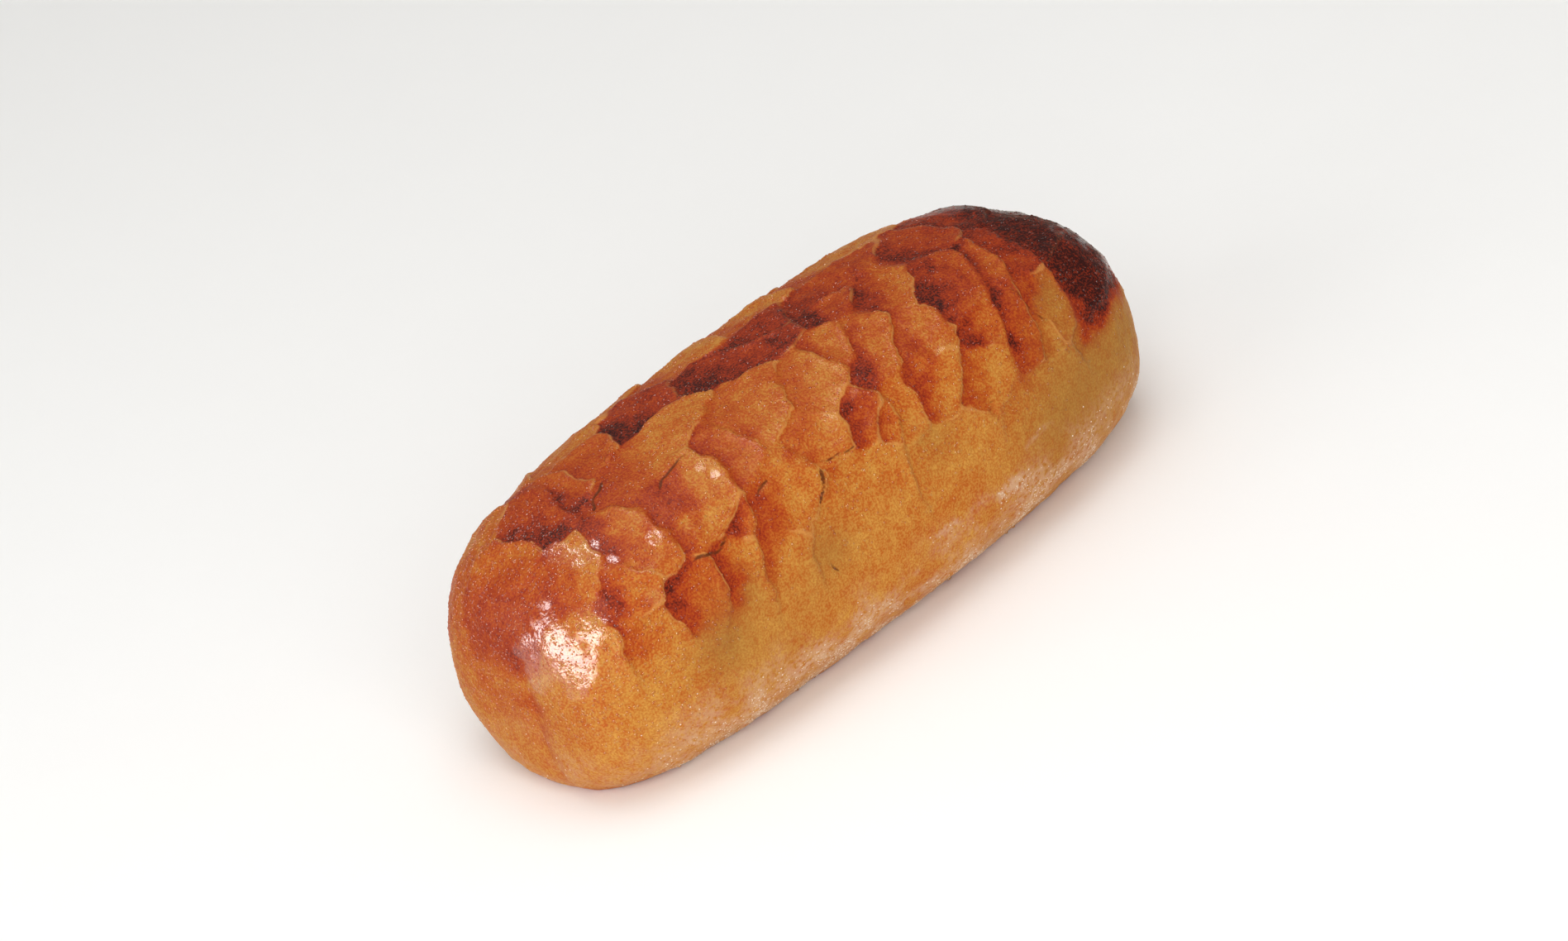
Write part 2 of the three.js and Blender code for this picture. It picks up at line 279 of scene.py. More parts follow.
def noise(points, cell, layer):
    """Smooth noise from -1 to 1; each layer number gives another pattern."""
    place = points / cell
    corner = np.floor(place)
    ease = smoothstep(place - corner, 0, 1)
    whole = corner.astype(np.int64)
    total = np.zeros(len(points))
    for side in itertools.product((0, 1), repeat=3):
        share = np.prod(np.where(side, ease, 1 - ease), axis=1)
        x, y, z = (whole + side).T
        total += share * lattice_value(x, y, z + layer * HASH_MIX)
    return 2 * total - 1


def layered_noise(points, cell, layers):
    """Noise on noise: each layer has half the cell and half the strength of the one before."""
    total = sum(noise(points, cell / 2**n, layer) / 2**n for n, layer in enumerate(layers))
    return total / sum(1 / 2**n for n in range(len(layers)))


def rough(points, strength, cell, layers, share=1.0):
    """Layered noise of a strength, a cell in millimetres and its layers, times each point's share of it."""
    return share * strength * layered_noise(points, cell, layers)


print("noise sample:", round(float(noise(np.array([[1.0, 2.0, 3.0]]), 7, 0)[0]), 4))

# %% [markdown]
# ## The crackled crown
# As the crust set, the dough below kept rising and broke it into plates about 20 mm across. Each one lies
# like a shingle: low and darkest at its near edge, rising to a thin lip at its far edge, which curls over
# the next. The dark colour at the near edge is partly browning and partly painted shade in the dip. The
# plates that the photograph shows are read one by one, as ellipses wrapped on the body. On the back, which
# is not seen, a staggered and jittered lattice lays more of the same kind.
#
# A plate's rim is where another plate becomes the closer one, as between soap bubbles. The last two
# numbers of each are how far it is baked, from 0 for pale gold to 10 for almost black, at its near edge
# and its lip; the number at the near edge also holds painted shade.

# %% The plates: x, girth, half length, half width, lean, bake with painted shade at the near edge, bake at the lip
READ_PLATES = [
    (-113, 97, 9, 9, 0, 5.6, 4),
    (-95, 99, 15, 9, 80, 8.5, 5.5),
    (-81, 97, 10, 6, 90, 8.5, 4.5),
    (-67, 103, 11, 8, 20, 5.5, 4),
    (-43, 104, 16, 10, 0, 9, 6.5),
    (-8, 94, 23, 9, -18, 8.5, 6.8),
    (10, 101, 11, 6, 0, 8, 7),
    (38, 99, 19, 7, 0, 7, 5.5),
    (72, 91, 13, 8, 0, 8.5, 6),
    (93, 98, 9, 8, 90, 8, 7),
    (-56, 83, 25, 10, 12, 5.5, 2.5),
    (-104, 70, 12, 9, 70, 5.0, 2.2),
    (-87, 62, 16, 8, -70, 7, 3),
    (-63, 57, 16, 13, 60, 6.0, 2.2),
    (-40, 62, 13, 8, 75, 6, 3.5),
    (-22, 74, 16, 11, 50, 4, 3),
    (-3, 64, 17, 9, 58, 4, 2.5),
    (14, 74, 9, 8, 40, 6, 3),
    (24, 64, 14, 8, 45, 7, 3),
    (27, 86, 10, 7, -10, 8.5, 5),
    (46, 80, 15, 10, 50, 8, 3.2),
    (37, 57, 10, 9, 40, 6, 3),
    (60, 69, 17, 10, 60, 8.4, 4.8),
    (78, 71, 12, 5, 75, 8.5, 4),
    (88, 67, 18, 5.5, 85, 7.5, 5.5),
    (100, 72, 15, 8, 80, 8, 7),
    (100, 45, 14, 8, 75, 7.5, 5),
    (-99, 47, 10, 8, 90, 7, 2.8),
    (-56, 44, 7, 4, 50, 7, 3.5),
    (-37, 41, 15, 10, 25, 5.2, 2.2),
    (-13, 52, 10, 8, 30, 3.5, 2.5),
    (2, 48, 6, 6, 0, 7, 4.5),
    (8, 43, 5, 4, 90, 6.5, 3),
    (16, 41, 9, 5, 90, 3, 2),
    (31, 43, 11, 9, 70, 6.5, 2.2),
    (57, 48, 9, 7, 20, 7.6, 3.4),
    (48, 36, 11, 9, 50, 5.0, 2.2),
    (68, 42, 14, 5, 70, 9, 5),
    (85, 44, 11, 8.5, 80, 5.5, 2.5),
    (77, 35, 6, 3, 60, 4, 1.8),
    (-114, 32, 12, 6, 90, 2.5, 2),
    (-98, 25, 14, 9, 90, 4, 2.2),
    (-81, 34, 10, 9, 30, 7.5, 4),
    (-64, 30, 13, 7, 80, 7, 2.2),
    (-48, 26, 13, 7, 80, 4.5, 2),
    (-12, 22, 19, 17, 0, 2.2, 2),
    (24, 20, 22, 11, 0, 2.2, 1.8),
    (66, 18, 22, 9, 0, 3.0, 2.0),
    (97, 21, 13, 7, 0, 3.5, 2.5),
    (-14, 113, 14, 6, 0, 4.5, 2.2),
    (16, 114, 15, 6, 0, 4.0, 2.2),
    (46, 115, 15, 6, 0, 5.0, 2.2),
]
LIP_HEADING = -24
LIFT_SPREAD = 0.35
QUARTER_TURN = 90


def make_plate(x, girth, half_length, half_width, lean, near_bake_and_shade, lip_bake, number):
    """One plate: its centre, its own axes, the heading of its lip and its reach."""
    centre = girth_point(x, girth)
    unit = lambda v: v / np.linalg.norm(v)
    along = unit(girth_point(x + 1, girth) - girth_point(x - 1, girth))
    upward = unit(girth_point(x, girth + 1) - girth_point(x, girth - 1))
    out = unit(np.cross(along, upward))
    turned = lambda angle: (
        along * math.cos(math.radians(angle)) + np.cross(out, along) * math.sin(math.radians(angle))
    )
    return {
        "centre": centre,
        "axes": np.stack([turned(lean), turned(lean + QUARTER_TURN), out]),
        "lip": turned(-LIP_HEADING if girth > QUARTER_TURN else LIP_HEADING),
        "reach": np.array([half_length, half_width, math.sqrt(half_length * half_width)]),
        "size": math.sqrt(half_length * half_width),
        "lift": LIFT_SPREAD * (2 * float(lattice_value(number, 0, 0)[0]) - 1),
        "bakes": (near_bake_and_shade, lip_bake),
    }


def rim_distance(plate, points):
    """Distance from a plate's rim, negative inside it, in millimetres of its own size."""
    stretched = np.linalg.norm((points - plate["centre"]) @ plate["axes"].T / plate["reach"], axis=1)
    return (stretched - 1) * plate["size"]


print(len(READ_PLATES), "plates read from the photograph")

# %% Lay plates where none was read
LATTICE_STEP = 20
LATTICE_GIRTHS = 8
LATTICE_LOWEST_GIRTH = 28
LATTICE_HIGHEST_GIRTH = 152
LATTICE_REACH = 118
LATTICE_JITTER = 8
LATTICE_HALF_LENGTHS = (9, 15)
LATTICE_HALF_WIDTHS = (6, 10)
LATTICE_CLEARANCE = 7.5
LATTICE_NEAR_BAKES = (3.5, 7.5)
LATTICE_LIP_BAKES = (1.8, 3.0)


def between(span, share):
    """The value at a share of the way through a span."""
    return span[0] + (span[1] - span[0]) * share


def lattice_places():
    """Row number, x and girth of each place in the staggered lattice."""
    girths = np.linspace(LATTICE_LOWEST_GIRTH, LATTICE_HIGHEST_GIRTH, LATTICE_GIRTHS)
    for row, girth in enumerate(girths):
        first = (row % 2) * LATTICE_STEP // 2 - LATTICE_REACH
        for x in range(first, LATTICE_REACH + 1, LATTICE_STEP):
            yield row, x, girth


def lay_plates():
    """The read plates, and the lattice's wherever none of them lies."""
    plates = [make_plate(*plate, number) for number, plate in enumerate(READ_PLATES)]
    for row, x, girth in lattice_places():
        draws = [float(lattice_value(row, x, draw)[0]) for draw in range(7)]
        slide, climb, length, width, turn, near_bake_and_shade, lip_bake = draws
        spare = make_plate(
            min(max(x + LATTICE_JITTER * (2 * slide - 1), -LATTICE_REACH), LATTICE_REACH),
            girth + LATTICE_JITTER * (2 * climb - 1),
            between(LATTICE_HALF_LENGTHS, length),
            between(LATTICE_HALF_WIDTHS, width),
            2 * QUARTER_TURN * turn,
            between(LATTICE_NEAR_BAKES, near_bake_and_shade),
            between(LATTICE_LIP_BAKES, lip_bake),
            len(plates),
        )
        gaps = [rim_distance(plate, spare["centre"][None])[0] for plate in plates]
        if min(gaps) >= LATTICE_CLEARANCE:
            plates.append(spare)
    return plates


plates = lay_plates()
print(len(plates), "plates in all")

# %% [markdown]
# ## From plates to height and bake
# Each point of the grid takes its height from the plate it lies in, mixed with its neighbours' over half
# a millimetre, so that a rim is a steep step and not a torn edge. The points are shifted by noise before
# they look up their plate, which makes the rims wander like real cracks instead of running in clean arcs.
# The same lookup gives the bake, which is darkest where a plate dips at its near edge: partly browning
# and partly painted shade in the dip.

# %% Height and bake from the plates
# Each noise is its strength, its cell in millimetres and its layer numbers.
RIM_WANDERS = [(2.4, 14, (0, 1, 2)), (1.3, 5, (3, 4, 5)), (0.7, 2.3, (7, 8, 9))]
PLATE_TILT = 0.75
PLATE_DISH = 0.6
CRISP_BLEND = 0.5
FADED_BLEND = 2.6
FADING = (1.0, 15, (13, 14))
FADE_SPAN = (0.1, 0.8)
LIP_CURL = 0.5
LIP_RUN = 1.5
LIP_START = (-0.1, 0.5)
# Each plate darkens toward its near edge over this span: partly browning, partly painted shade in the dip.
DARK_BAND = (-0.8, 0.3)
BAND_NOISE = (0.6, 7, (10, 11, 17))
WIDEST_GAP = 6.0


def wandered(points):
    """The points shifted by the noise that makes the plate rims wander."""
    place = points
    for reach, cell, layers in RIM_WANDERS:
        place = place + np.stack([reach * noise(points, cell, layer) for layer in layers], axis=1)
    return place


def read_plates(points):
    """Height, bake with painted shade at each near edge, lip strength and distance to the rim of the plated
    crust at each point.
    """
    place = wandered(points)
    rims = np.stack([rim_distance(plate, place) for plate in plates], axis=1)
    nearest = np.partition(rims, 1, axis=1)[:, :2]
    to_rim = (nearest[:, 1] - nearest[:, 0]) / 2
    faded = smoothstep(rough(points, *FADING), *FADE_SPAN)
    blend = CRISP_BLEND + (FADED_BLEND - CRISP_BLEND) * faded
    patchy = rough(points, *BAND_NOISE)
    weight, height, bake, lip = (np.zeros(len(points)) for _ in range(4))
    for plate, rim in zip(plates, rims.T):
        offset = place - plate["centre"]
        rise = np.clip(offset @ plate["lip"] / plate["size"], -1, 1)
        hollow = np.maximum(1 - (offset**2).sum(axis=1) / plate["size"] ** 2, 0)
        share = np.exp((nearest[:, 0] - rim) / blend)
        curl = (1 - faded) * smoothstep(rise, *LIP_START) * np.exp(-to_rim / LIP_RUN)
        near_bake_and_shade, lip_bake = plate["bakes"]
        weight += share
        height += share * (plate["lift"] + PLATE_TILT * rise - PLATE_DISH * hollow + LIP_CURL * curl)
        # Darker toward the near edge: partly browning, partly painted shade in the dip.
        bake += share * (near_bake_and_shade + (lip_bake - near_bake_and_shade) * smoothstep(rise + patchy, *DARK_BAND))
        lip += share * curl
    gap = np.clip(to_rim + WIDEST_GAP * faded, 0, WIDEST_GAP)
    return height / weight, bake / weight, lip / weight, gap


plate_height, plate_bake_and_shade, plate_lip, rim_gap = read_plates(smooth)
print("plate relief, mm:", round(float(plate_height.min()), 2), "to", round(float(plate_height.max()), 2))

# %% [markdown]
# ## Cracks, pits and the tucks
# Between some plates the crust has torn: a dark line under a millimetre wide with one raised pale edge.
# Each tear is a short path of points on the body, and a grid point's distance to the path gives both the
# groove and its colour. The two ends show where the log was closed: a shallow furrow that wanders down to
# the floor. A few small pits were left by bubbles that burst.

# %% Tears in the crust, each with its depth and a path of x and girth
TEARS = [
    (0.9, [(-86, 79), (-80, 84), (-72, 88)]),
    (0.5, [(-68, 90), (-65, 94), (-61, 97)]),
    (0.8, [(-68, 67), (-64, 70), (-57, 71), (-53, 72), (-49, 71)]),
    (0.9, [(-80, 43), (-74, 43), (-68, 41), (-64, 42), (-59, 43)]),
    (0.8, [(-47, 46), (-43, 48), (-38, 49)]),
    (0.7, [(-22, 44), (-16, 42), (-9, 42), (-4, 43)]),
    (1.0, [(-29, 32), (-26, 36), (-23, 40), (-21, 44)]),
    (0.8, [(-33, 95), (-28, 97), (-25, 95)]),
    (0.4, [(16, 33), (23, 32), (29, 32), (34, 33), (38, 33)]),
    (0.7, [(-35, 18), (-34, 14), (-32, 11)]),
    (0.5, [(41, 28), (46, 27), (51, 27)]),
    (0.5, [(-53, 36), (-55, 32), (-57, 30)]),
    (0.6, [(75, 56), (76, 48), (77, 41), (81, 36), (88, 34)]),
    (0.5, [(91, 68), (95, 72), (99, 77)]),
]
TEAR_HALF_WIDTH = 0.6
TEAR_DEPTH = 0.65
TEAR_EDGE_RISE = 0.22
TEAR_EDGE_PLACE = 1.3
TEAR_STEP = 1.5
TEAR_WIGGLE = 0.8
TEAR_WIGGLE_CELL = 3.5
TEAR_WIGGLE_LAYER = 12
TEAR_LOOK = 8
TEAR_END = 0.35
TEAR_FAR = 5.0


def tear_path(corners):
    """Points on the body along a tear, close together and slightly wandering."""
    runs = []
    for (x0, g0), (x1, g1) in itertools.pairwise(corners):
        steps = max(int(math.hypot(x1 - x0, g1 - g0) / TEAR_STEP), 1)
        runs += [(x0 + (x1 - x0) * k / steps, g0 + (g1 - g0) * k / steps) for k in range(steps)]
    path = np.array([girth_point(x, g) for x, g in [*runs, corners[-1]]])
    wiggle = [noise(path, TEAR_WIGGLE_CELL, TEAR_WIGGLE_LAYER + axis) for axis in range(3)]
    return path + TEAR_WIGGLE * np.stack(wiggle, axis=1)


def tear_field(points, path):
    """Each point's signed distance across a tear, and how far in from its ends it lies."""
    best = np.full(len(points), np.inf)
    side = np.zeros(len(points))
    inward = np.zeros(len(points))
    for number, (start, end) in enumerate(itertools.pairwise(path)):
        run = end - start
        share = np.clip((points - start) @ run / (run @ run), 0, 1)
        offset = points - start - share[:, None] * run
        distance = np.linalg.norm(offset, axis=1)
        across = np.cross(run, start - [start[0], 0, BELLY_HEIGHT])
        closer = distance < best
        best = np.where(closer, distance, best)
        side = np.where(closer, np.sign(offset @ across), side)
        place = (number + share) / (len(path) - 1)
        inward = np.where(closer, 1 - abs(2 * place - 1), inward)
    return best, side, inward


def tear_relief(points):
    """Height change of all the tears, and the distance to the nearest one, larger toward its ends."""
    height = np.zeros(len(points))
    gap = np.full(len(points), TEAR_FAR)
    for depth, corners in TEARS:
        path = tear_path(corners)
        near = np.linalg.norm(points - path.mean(axis=0), axis=1) < TEAR_LOOK + np.ptp(path, axis=0).max()
        distance, side, inward = tear_field(points[near], path)
        fade = smoothstep(inward, 0, TEAR_END)
        groove = fade * np.exp(-((distance / TEAR_HALF_WIDTH) ** 2))
        edge = fade * np.exp(-((distance - TEAR_EDGE_PLACE) ** 2)) * (side > 0)
        height[near] += TEAR_EDGE_RISE * edge - TEAR_DEPTH * depth * groove
        gap[near] = np.minimum(gap[near], distance + (1 - fade * depth))
    return height, gap


print(len(TEARS), "tears")

# %% Pits left by burst bubbles: x, girth, radius and depth
PITS = [
    (43.5, 25, 1.3, 1.6),
    (44.5, 22, 0.8, 0.8),
    (6, 91, 2.4, 0.9),
    (-109, -34, 1.0, 1.2),
    (-105, -33, 0.7, 0.8),
    (-8, -20, 1.2, 1.2),
    (-39, -24, 1.1, 1.1),
    (30, -24, 0.9, 0.9),
]


def pit_relief(points):
    """Height change and darkness of the pits."""
    height = np.zeros(len(points))
    dark = np.zeros(len(points))
    for x, girth, radius, depth in PITS:
        distance = np.linalg.norm(points - girth_point(x, girth), axis=1)
        bowl = np.exp(-((distance / radius) ** 2))
        height -= depth * bowl
        dark = np.maximum(dark, bowl)
    return height, dark


tear_height, tear_gap = tear_relief(smooth)
pit_height, pit_dark = pit_relief(smooth)
print("tears and pits reach", round(float((tear_height + pit_height).min()), 2), "mm deep")

# %% [markdown]
# ## Putting the relief together
# The relief is a sum of layers: plates, a dent in the near shoulder, soft hollows in the lower side,
# leathery wrinkles, fine streaks, puckers on the near end, the far end's shrivelled skin, an uneven skirt
# and foot where the dough met the floor, tears and pits. Most layers fade with height, since the crown
# crackled and the side did not. Each point moves along its own outward direction, which is laid level
# near the floor, so that the base stays flat.

# %% The finer layers, in millimetres
# Each noise is its strength, its cell and its layer numbers. Spans are heights above the floor, or places
# along the body, between which a layer comes in or fades.
PLATES_SPAN = (31, 57)
HOLLOW = (0.5, 24, (20, 21))
HOLLOW_TOP = (48, 66)
WRINKLE = (0.36, 7, (22, 23, 24))
WRINKLE_SHARES = (0.4, 0.6)
PUCKER = (0.2, 3.4, (48, 49))
PUCKER_REACH = (-70, -110)
SHRIVEL = (0.35, 3.0, (59, 60))
SHRIVEL_STRETCH = [1, 0.35, 0.35]
SHRIVEL_REACH = (92, 112)
SHRIVEL_LOW = (14, 34)
STREAKS = (1.0, 3.2, (28, 29))
STREAK_STRETCH = [0.3, 1, 1]
STREAK = 0.18
GRAIN = (0.09, 1.9, (25,))
RIM_RISE = (2, 7)
RIM_FALL = (7, 14)
RIM_LUMPS = (0.5, 7, (6,))
FOOT_TOP = (0, 5)
FOOT_LUMPS = (0.8, 4.5, (26, 27))
SKIRT_LUMPS = (1.0, 12, (50, 51, 52))
SKIRT_TOP = (15, 24)
DENT = 1.8
DENT_PLACE = (-121, -16, 68)
DENT_RADIUS = 14
FLOOR_FADE = (0, 4)
TUCK_TOP = (34, 60)


def dab(centre, radius):
    """1 at a spot on the body, falling to nothing round it like a bell of that radius."""
    return np.exp(-(((smooth - centre) / radius) ** 2).sum(axis=1))


def above(span, wander=0):
    """Rises smoothly from 0 to 1 over a span of heights, which may wander from place to place."""
    return smoothstep(smooth[:, 2] + wander, *span)


def beyond(span, wander=0):
    """Rises smoothly from 0 to 1 over a span along the body, which may wander from place to place."""
    return smoothstep(smooth[:, 0] + wander, *span)


plated = above(PLATES_SPAN)
rim_band = above(RIM_RISE) * (1 - above(RIM_FALL))
foot_band = 1 - above(FOOT_TOP)
lower_side = 1 - above(HOLLOW_TOP)
skirt = 1 - above(SKIRT_TOP)
puckered = beyond(PUCKER_REACH) * above(TUCK_TOP)
shrivelled = beyond(SHRIVEL_REACH) * above(SHRIVEL_LOW)
streaks = rough(smooth * STREAK_STRETCH, *STREAKS)
layers = [
    plated * plate_height,
    -DENT * dab(DENT_PLACE, DENT_RADIUS),
    rough(smooth, *HOLLOW, lower_side * (1 - foot_band)),
    rough(smooth, *WRINKLE, WRINKLE_SHARES[0] + WRINKLE_SHARES[1] * plated),
    STREAK * plated * streaks,
    rough(smooth, *PUCKER, puckered),
    rough(smooth * SHRIVEL_STRETCH, *SHRIVEL, shrivelled),
    rough(smooth, *GRAIN),
    rough(smooth, *RIM_LUMPS, rim_band),
    rough(smooth, *SKIRT_LUMPS, skirt),
    rough(smooth, *FOOT_LUMPS, foot_band),
    tear_height,
    pit_height,
]
relief = sum(layers)
direction = outward.copy()
direction[:, 2] *= above(FLOOR_FADE)
crust = smooth + direction * relief[:, None]
print("relief, mm:", round(float(relief.min()), 2), "to", round(float(relief.max()), 2))

# %% Draw the tucks in at both ends
TUCK_DEPTH = 1.2
NEAR_TUCK_PLACE = -9
FAR_TUCK_PLACE = 0
TUCK_WANDER = (4, 11, (53, 54))
TUCK_HALF_WIDTH = 4.5
TUCK_REACH = 24

at_near_half = smooth[:, 0] < 0
tuck_place = np.where(at_near_half, NEAR_TUCK_PLACE, FAR_TUCK_PLACE) + rough(smooth, *TUCK_WANDER)
furrow = np.exp(-(((smooth[:, 1] - tuck_place) / TUCK_HALF_WIDTH) ** 2))
furrow *= 1 - above(TUCK_TOP)
furrow *= smoothstep(np.abs(smooth[:, 0]), HALF_LENGTH - TUCK_REACH, HALF_LENGTH)
crust[:, 0] += np.where(at_near_half, TUCK_DEPTH, -TUCK_DEPTH) * furrow
print("tucks", TUCK_DEPTH, "mm deep")

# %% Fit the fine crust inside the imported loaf's box
BLISTER_ROOM = 0.3
cad_low, cad_high = (np.array(corner) / MM for corner in cad_box)
cad_low, cad_high = cad_low + BLISTER_ROOM, cad_high - BLISTER_ROOM
for axis in range(3):
    low, high = crust[:, axis].min(), crust[:, axis].max()
    squeeze = min(1, cad_high[axis] / high, cad_low[axis] / low if low < 0 else 1)
    crust[:, axis] *= squeeze
    print("xyz"[axis], "squeezed by", round(1 - squeeze, 4))

# %% [markdown]
# ## How far each spot is baked, with some painted shade
# A crust browns where it is hot and dry. The plates carry their own bake, darkest at their low near edges,
# where the colour is partly painted shade; the smooth side is pale gold; the far end's top sat nearest the
# heat and is almost black; the tucks are a little darker, partly browning and partly painted shade in their
# creases; and small blotches are sugar that caramelised. This is kept as one number for each point, stored
# on the mesh, and the material turns it into colour. Painting it as an image would need a file and would
# blur; a stored number follows the relief exactly.

# %% Bake and painted shade, from 0 pale gold to 10 almost black
SIDE_BAKE = 1.6
SIDE_SPREAD = (0.9, 18, (30, 31))
BAKE_FADE = (41, 57)
BAKE_DRIFT = (5, 12, (32, 33))
BASE_BAKE = 4.0
BASE_FADE = (0.2, 3.0)
# The tucks are darker: partly browning, partly painted shade in the crease.
TUCK_BAKE_AND_SHADE = 3.2
TUCK_LEAST = 0.15
PIT_BAKE = 2.0
SPOTS = (1.0, 6, (34, 35))
SPOT_SPAN = (-0.1, 0.7)
SPOT_BAKE = 0.7
STREAK_BAKE = 0.6
SCORCH_BAKE = 9.3
SCORCH_START = (86, 101)
SCORCH_HEIGHT = (44, 56)
SCORCH_WANDER = (7, 10, (40, 41, 42))
MOST_BAKE = 10.0

# Patches that are baked further or less: centre in x, y, z, radius, and change of bake.
PATCHES = [
    ((-118, 4, 74), 14, -0.6),
    ((-122, -18, 26), 26, 0.6),
    ((-122, 14, 34), 15, 1.3),
    # This patch and the one at y -6 lie on the near tuck and darken its line, partly as painted shade.
    ((-126.5, -7, 50), 5, 2.2),
    ((-124, 2, 66), 10, 0.5),
    ((-117, -18, 72), 7, 0.6),
    ((-126, 12, 46), 9, 1.2),
    ((-126, -6, 37), 5, 1.4),
    ((6, -4, 89), 4, 1.6),
]

# Small blotches of sugar that caramelised: x, girth, radius, and change of bake.
BLOTCHES = [
    (-31.5, 63.5, 2.8, 2.5),
    (-34, 56, 2.0, 1.5),
    (-27, 50, 2.8, 2.5),
    (-22, 46, 2.4, 2.0),
    (-57, 42, 3.8, 2.5),
    (-52, 47, 3.4, 2.0),
    (-45, 45.5, 2.6, 2.0),
    (-52, 37, 2.6, 2.0),
    (-67, 36, 3.4, 2.5),
    (-54, 30, 2.4, 1.5),
    (3, 51, 4.0, 1.8),
    (-1, 48, 2.4, 2.0),
    (-19, 39, 2.8, 2.2),
    (-8.5, 40, 2.2, 1.8),
    (8, 43, 2.4, 2.2),
    (-43, 33, 2.2, 1.0),
    (13, 58, 4.5, 1.5),
    (57, 61, 5.0, 1.2),
    (66, 64, 4.0, 1.2),
    (98, 27, 5.0, 3.0),
    (85, 56, 3.5, 2.0),
    (75, 58, 3.0, 2.5),
    (69, 53, 3.0, 2.0),
    (25, 83, 4.5, 1.5),
    (81, 29, 2.6, 1.8),
    (-88, 52, 3.2, 2.0),
    (-79, 60, 2.6, 1.6),
    (-92, 63, 2.8, 1.8),
    (-104, 80, 3.6, 1.4),
    (-106, 58, 3.2, 1.6),
]
BLOTCH_SHARE = 0.75
BLOTCH_RAGGED = (0.6, 3, (55, 56))


def bake_and_shade_map():
    """The bake at each point of the grid, with painted shade at the plates' near edges and in the tucks."""
    upper = above(BAKE_FADE, rough(smooth, *BAKE_DRIFT))
    side = SIDE_BAKE + rough(smooth, *SIDE_SPREAD)
    bake = side + (plate_bake_and_shade - side) * upper
    for centre, radius, change in PATCHES:
        bake += change * dab(centre, radius)
    ragged = BLOTCH_SHARE + rough(smooth, *BLOTCH_RAGGED)
    for x, girth, radius, change in BLOTCHES:
        bake += change * ragged * dab(girth_point(x, girth), radius)
    spots = smoothstep(rough(smooth, *SPOTS), *SPOT_SPAN)
    bake += upper * (SPOT_BAKE * spots + STREAK_BAKE * streaks)
    # Darker tucks, partly painted shade in the crease.
    bake += TUCK_BAKE_AND_SHADE * furrow * (TUCK_LEAST + spots) + PIT_BAKE * pit_dark
    wander = rough(smooth, *SCORCH_WANDER)
    scorch = beyond(SCORCH_START, wander) * above(SCORCH_HEIGHT, wander)
    bake += scorch * np.maximum(SCORCH_BAKE - bake, 0)
    on_base = 1 - above(BASE_FADE)
    return np.clip(bake + (BASE_BAKE - bake) * on_base, 0, MOST_BAKE)


bake = bake_and_shade_map()
print("bake from", round(float(bake.min()), 1), "to", round(float(bake.max()), 1))

# %% [markdown]
# ## Egg wash, dull gold and flour, with painted shade and sheen
# These are kept as stored numbers too. The wash is thin, thicker on the lips, and thickest in pools with
# crisp edges, where the crust shines. Parts of the gold side are duller and greener, partly as painted
# shade on the low side. Flour from the oven floor thins out upward and lies in patches, and a few scuffs of
# it cross the side; its pale colour is partly painted sheen.

# %% Pools of egg wash: centre in x, y, z, radius and strength
GLAZE_POOLS = [
    ((-122, -22, 58), 15, 1.0),
    ((-121, -31, 51), 9, 1.0),
    ((-112, -32, 65), 8, 1.0),
    ((-102, -13, 81), 6, 1.0),
    ((-98, -19, 80), 6, 1.0),
    ((-94.4, -28.7, 77.5), 1.9, 0.8),
    ((-81, -33, 78), 2.3, 0.8),
    ((-92.5, -42, 66), 2.8, 0.8),
    ((-51, -31, 82), 2.0, 0.45),
    ((-52, -26, 84), 1.8, 0.35),
    ((8, -27, 83), 1.4, 0.8),
    ((121, -14, 55), 19, 0.75),
    ((117, 10, 68), 16, 0.6),
    ((98, 20, 79), 14, 0.5),
]
GLAZE = 0.01
LIP_GLAZE = 0.2
GLAZE_EDGE = (0.42, 0.62)
GLAZE_RAGGED = (0.45, 8, (36, 37, 38))
GLAZE_CRUMPLE = (0.25, 2.2, (57, 58))
POOL_REACH = 4

# Where the gold is dull and greenish, partly as painted shade on the low side: x, girth, radius and
# strength.
DULL_AND_SHADE_PATCHES = [
    (-80, 15, 11, 0.7),
    (-66, 26, 7, 0.5),
    (-33, 20, 9, 0.6),
    (20, 28, 9, 0.4),
    (85, 12, 26, 0.8),
    (60, 3, 18, 0.4),
    (113, 14, 15, 0.5),
    (72, 92, 11, 0.2),
    (86, 46, 10, 0.5),
    (-62, 2, 26, 0.3),
]


def glaze_map():
    """How much egg glaze lies on each point of the grid."""
    ragged = rough(smooth, *GLAZE_RAGGED) + rough(smooth, *GLAZE_CRUMPLE)
    wet = np.zeros(len(smooth))
    for centre, radius, strength in GLAZE_POOLS:
        pool = dab(centre, radius)
        edge = pool + ragged * np.minimum(POOL_REACH * pool, 1)
        wet = np.maximum(wet, strength * smoothstep(edge, *GLAZE_EDGE))
    return np.clip(GLAZE + LIP_GLAZE * plated * plate_lip + wet, 0, 1)


def dull_and_shade_map():
    """How dull the gold is at each point of the grid, partly as painted shade."""
    patches = [strength * dab(girth_point(x, girth), radius) for x, girth, radius, strength in DULL_AND_SHADE_PATCHES]
    return np.clip(sum(patches), 0, 1)


glaze = glaze_map()
dull = dull_and_shade_map()
print("egg wash, mean share:", round(float(glaze.mean()), 3))

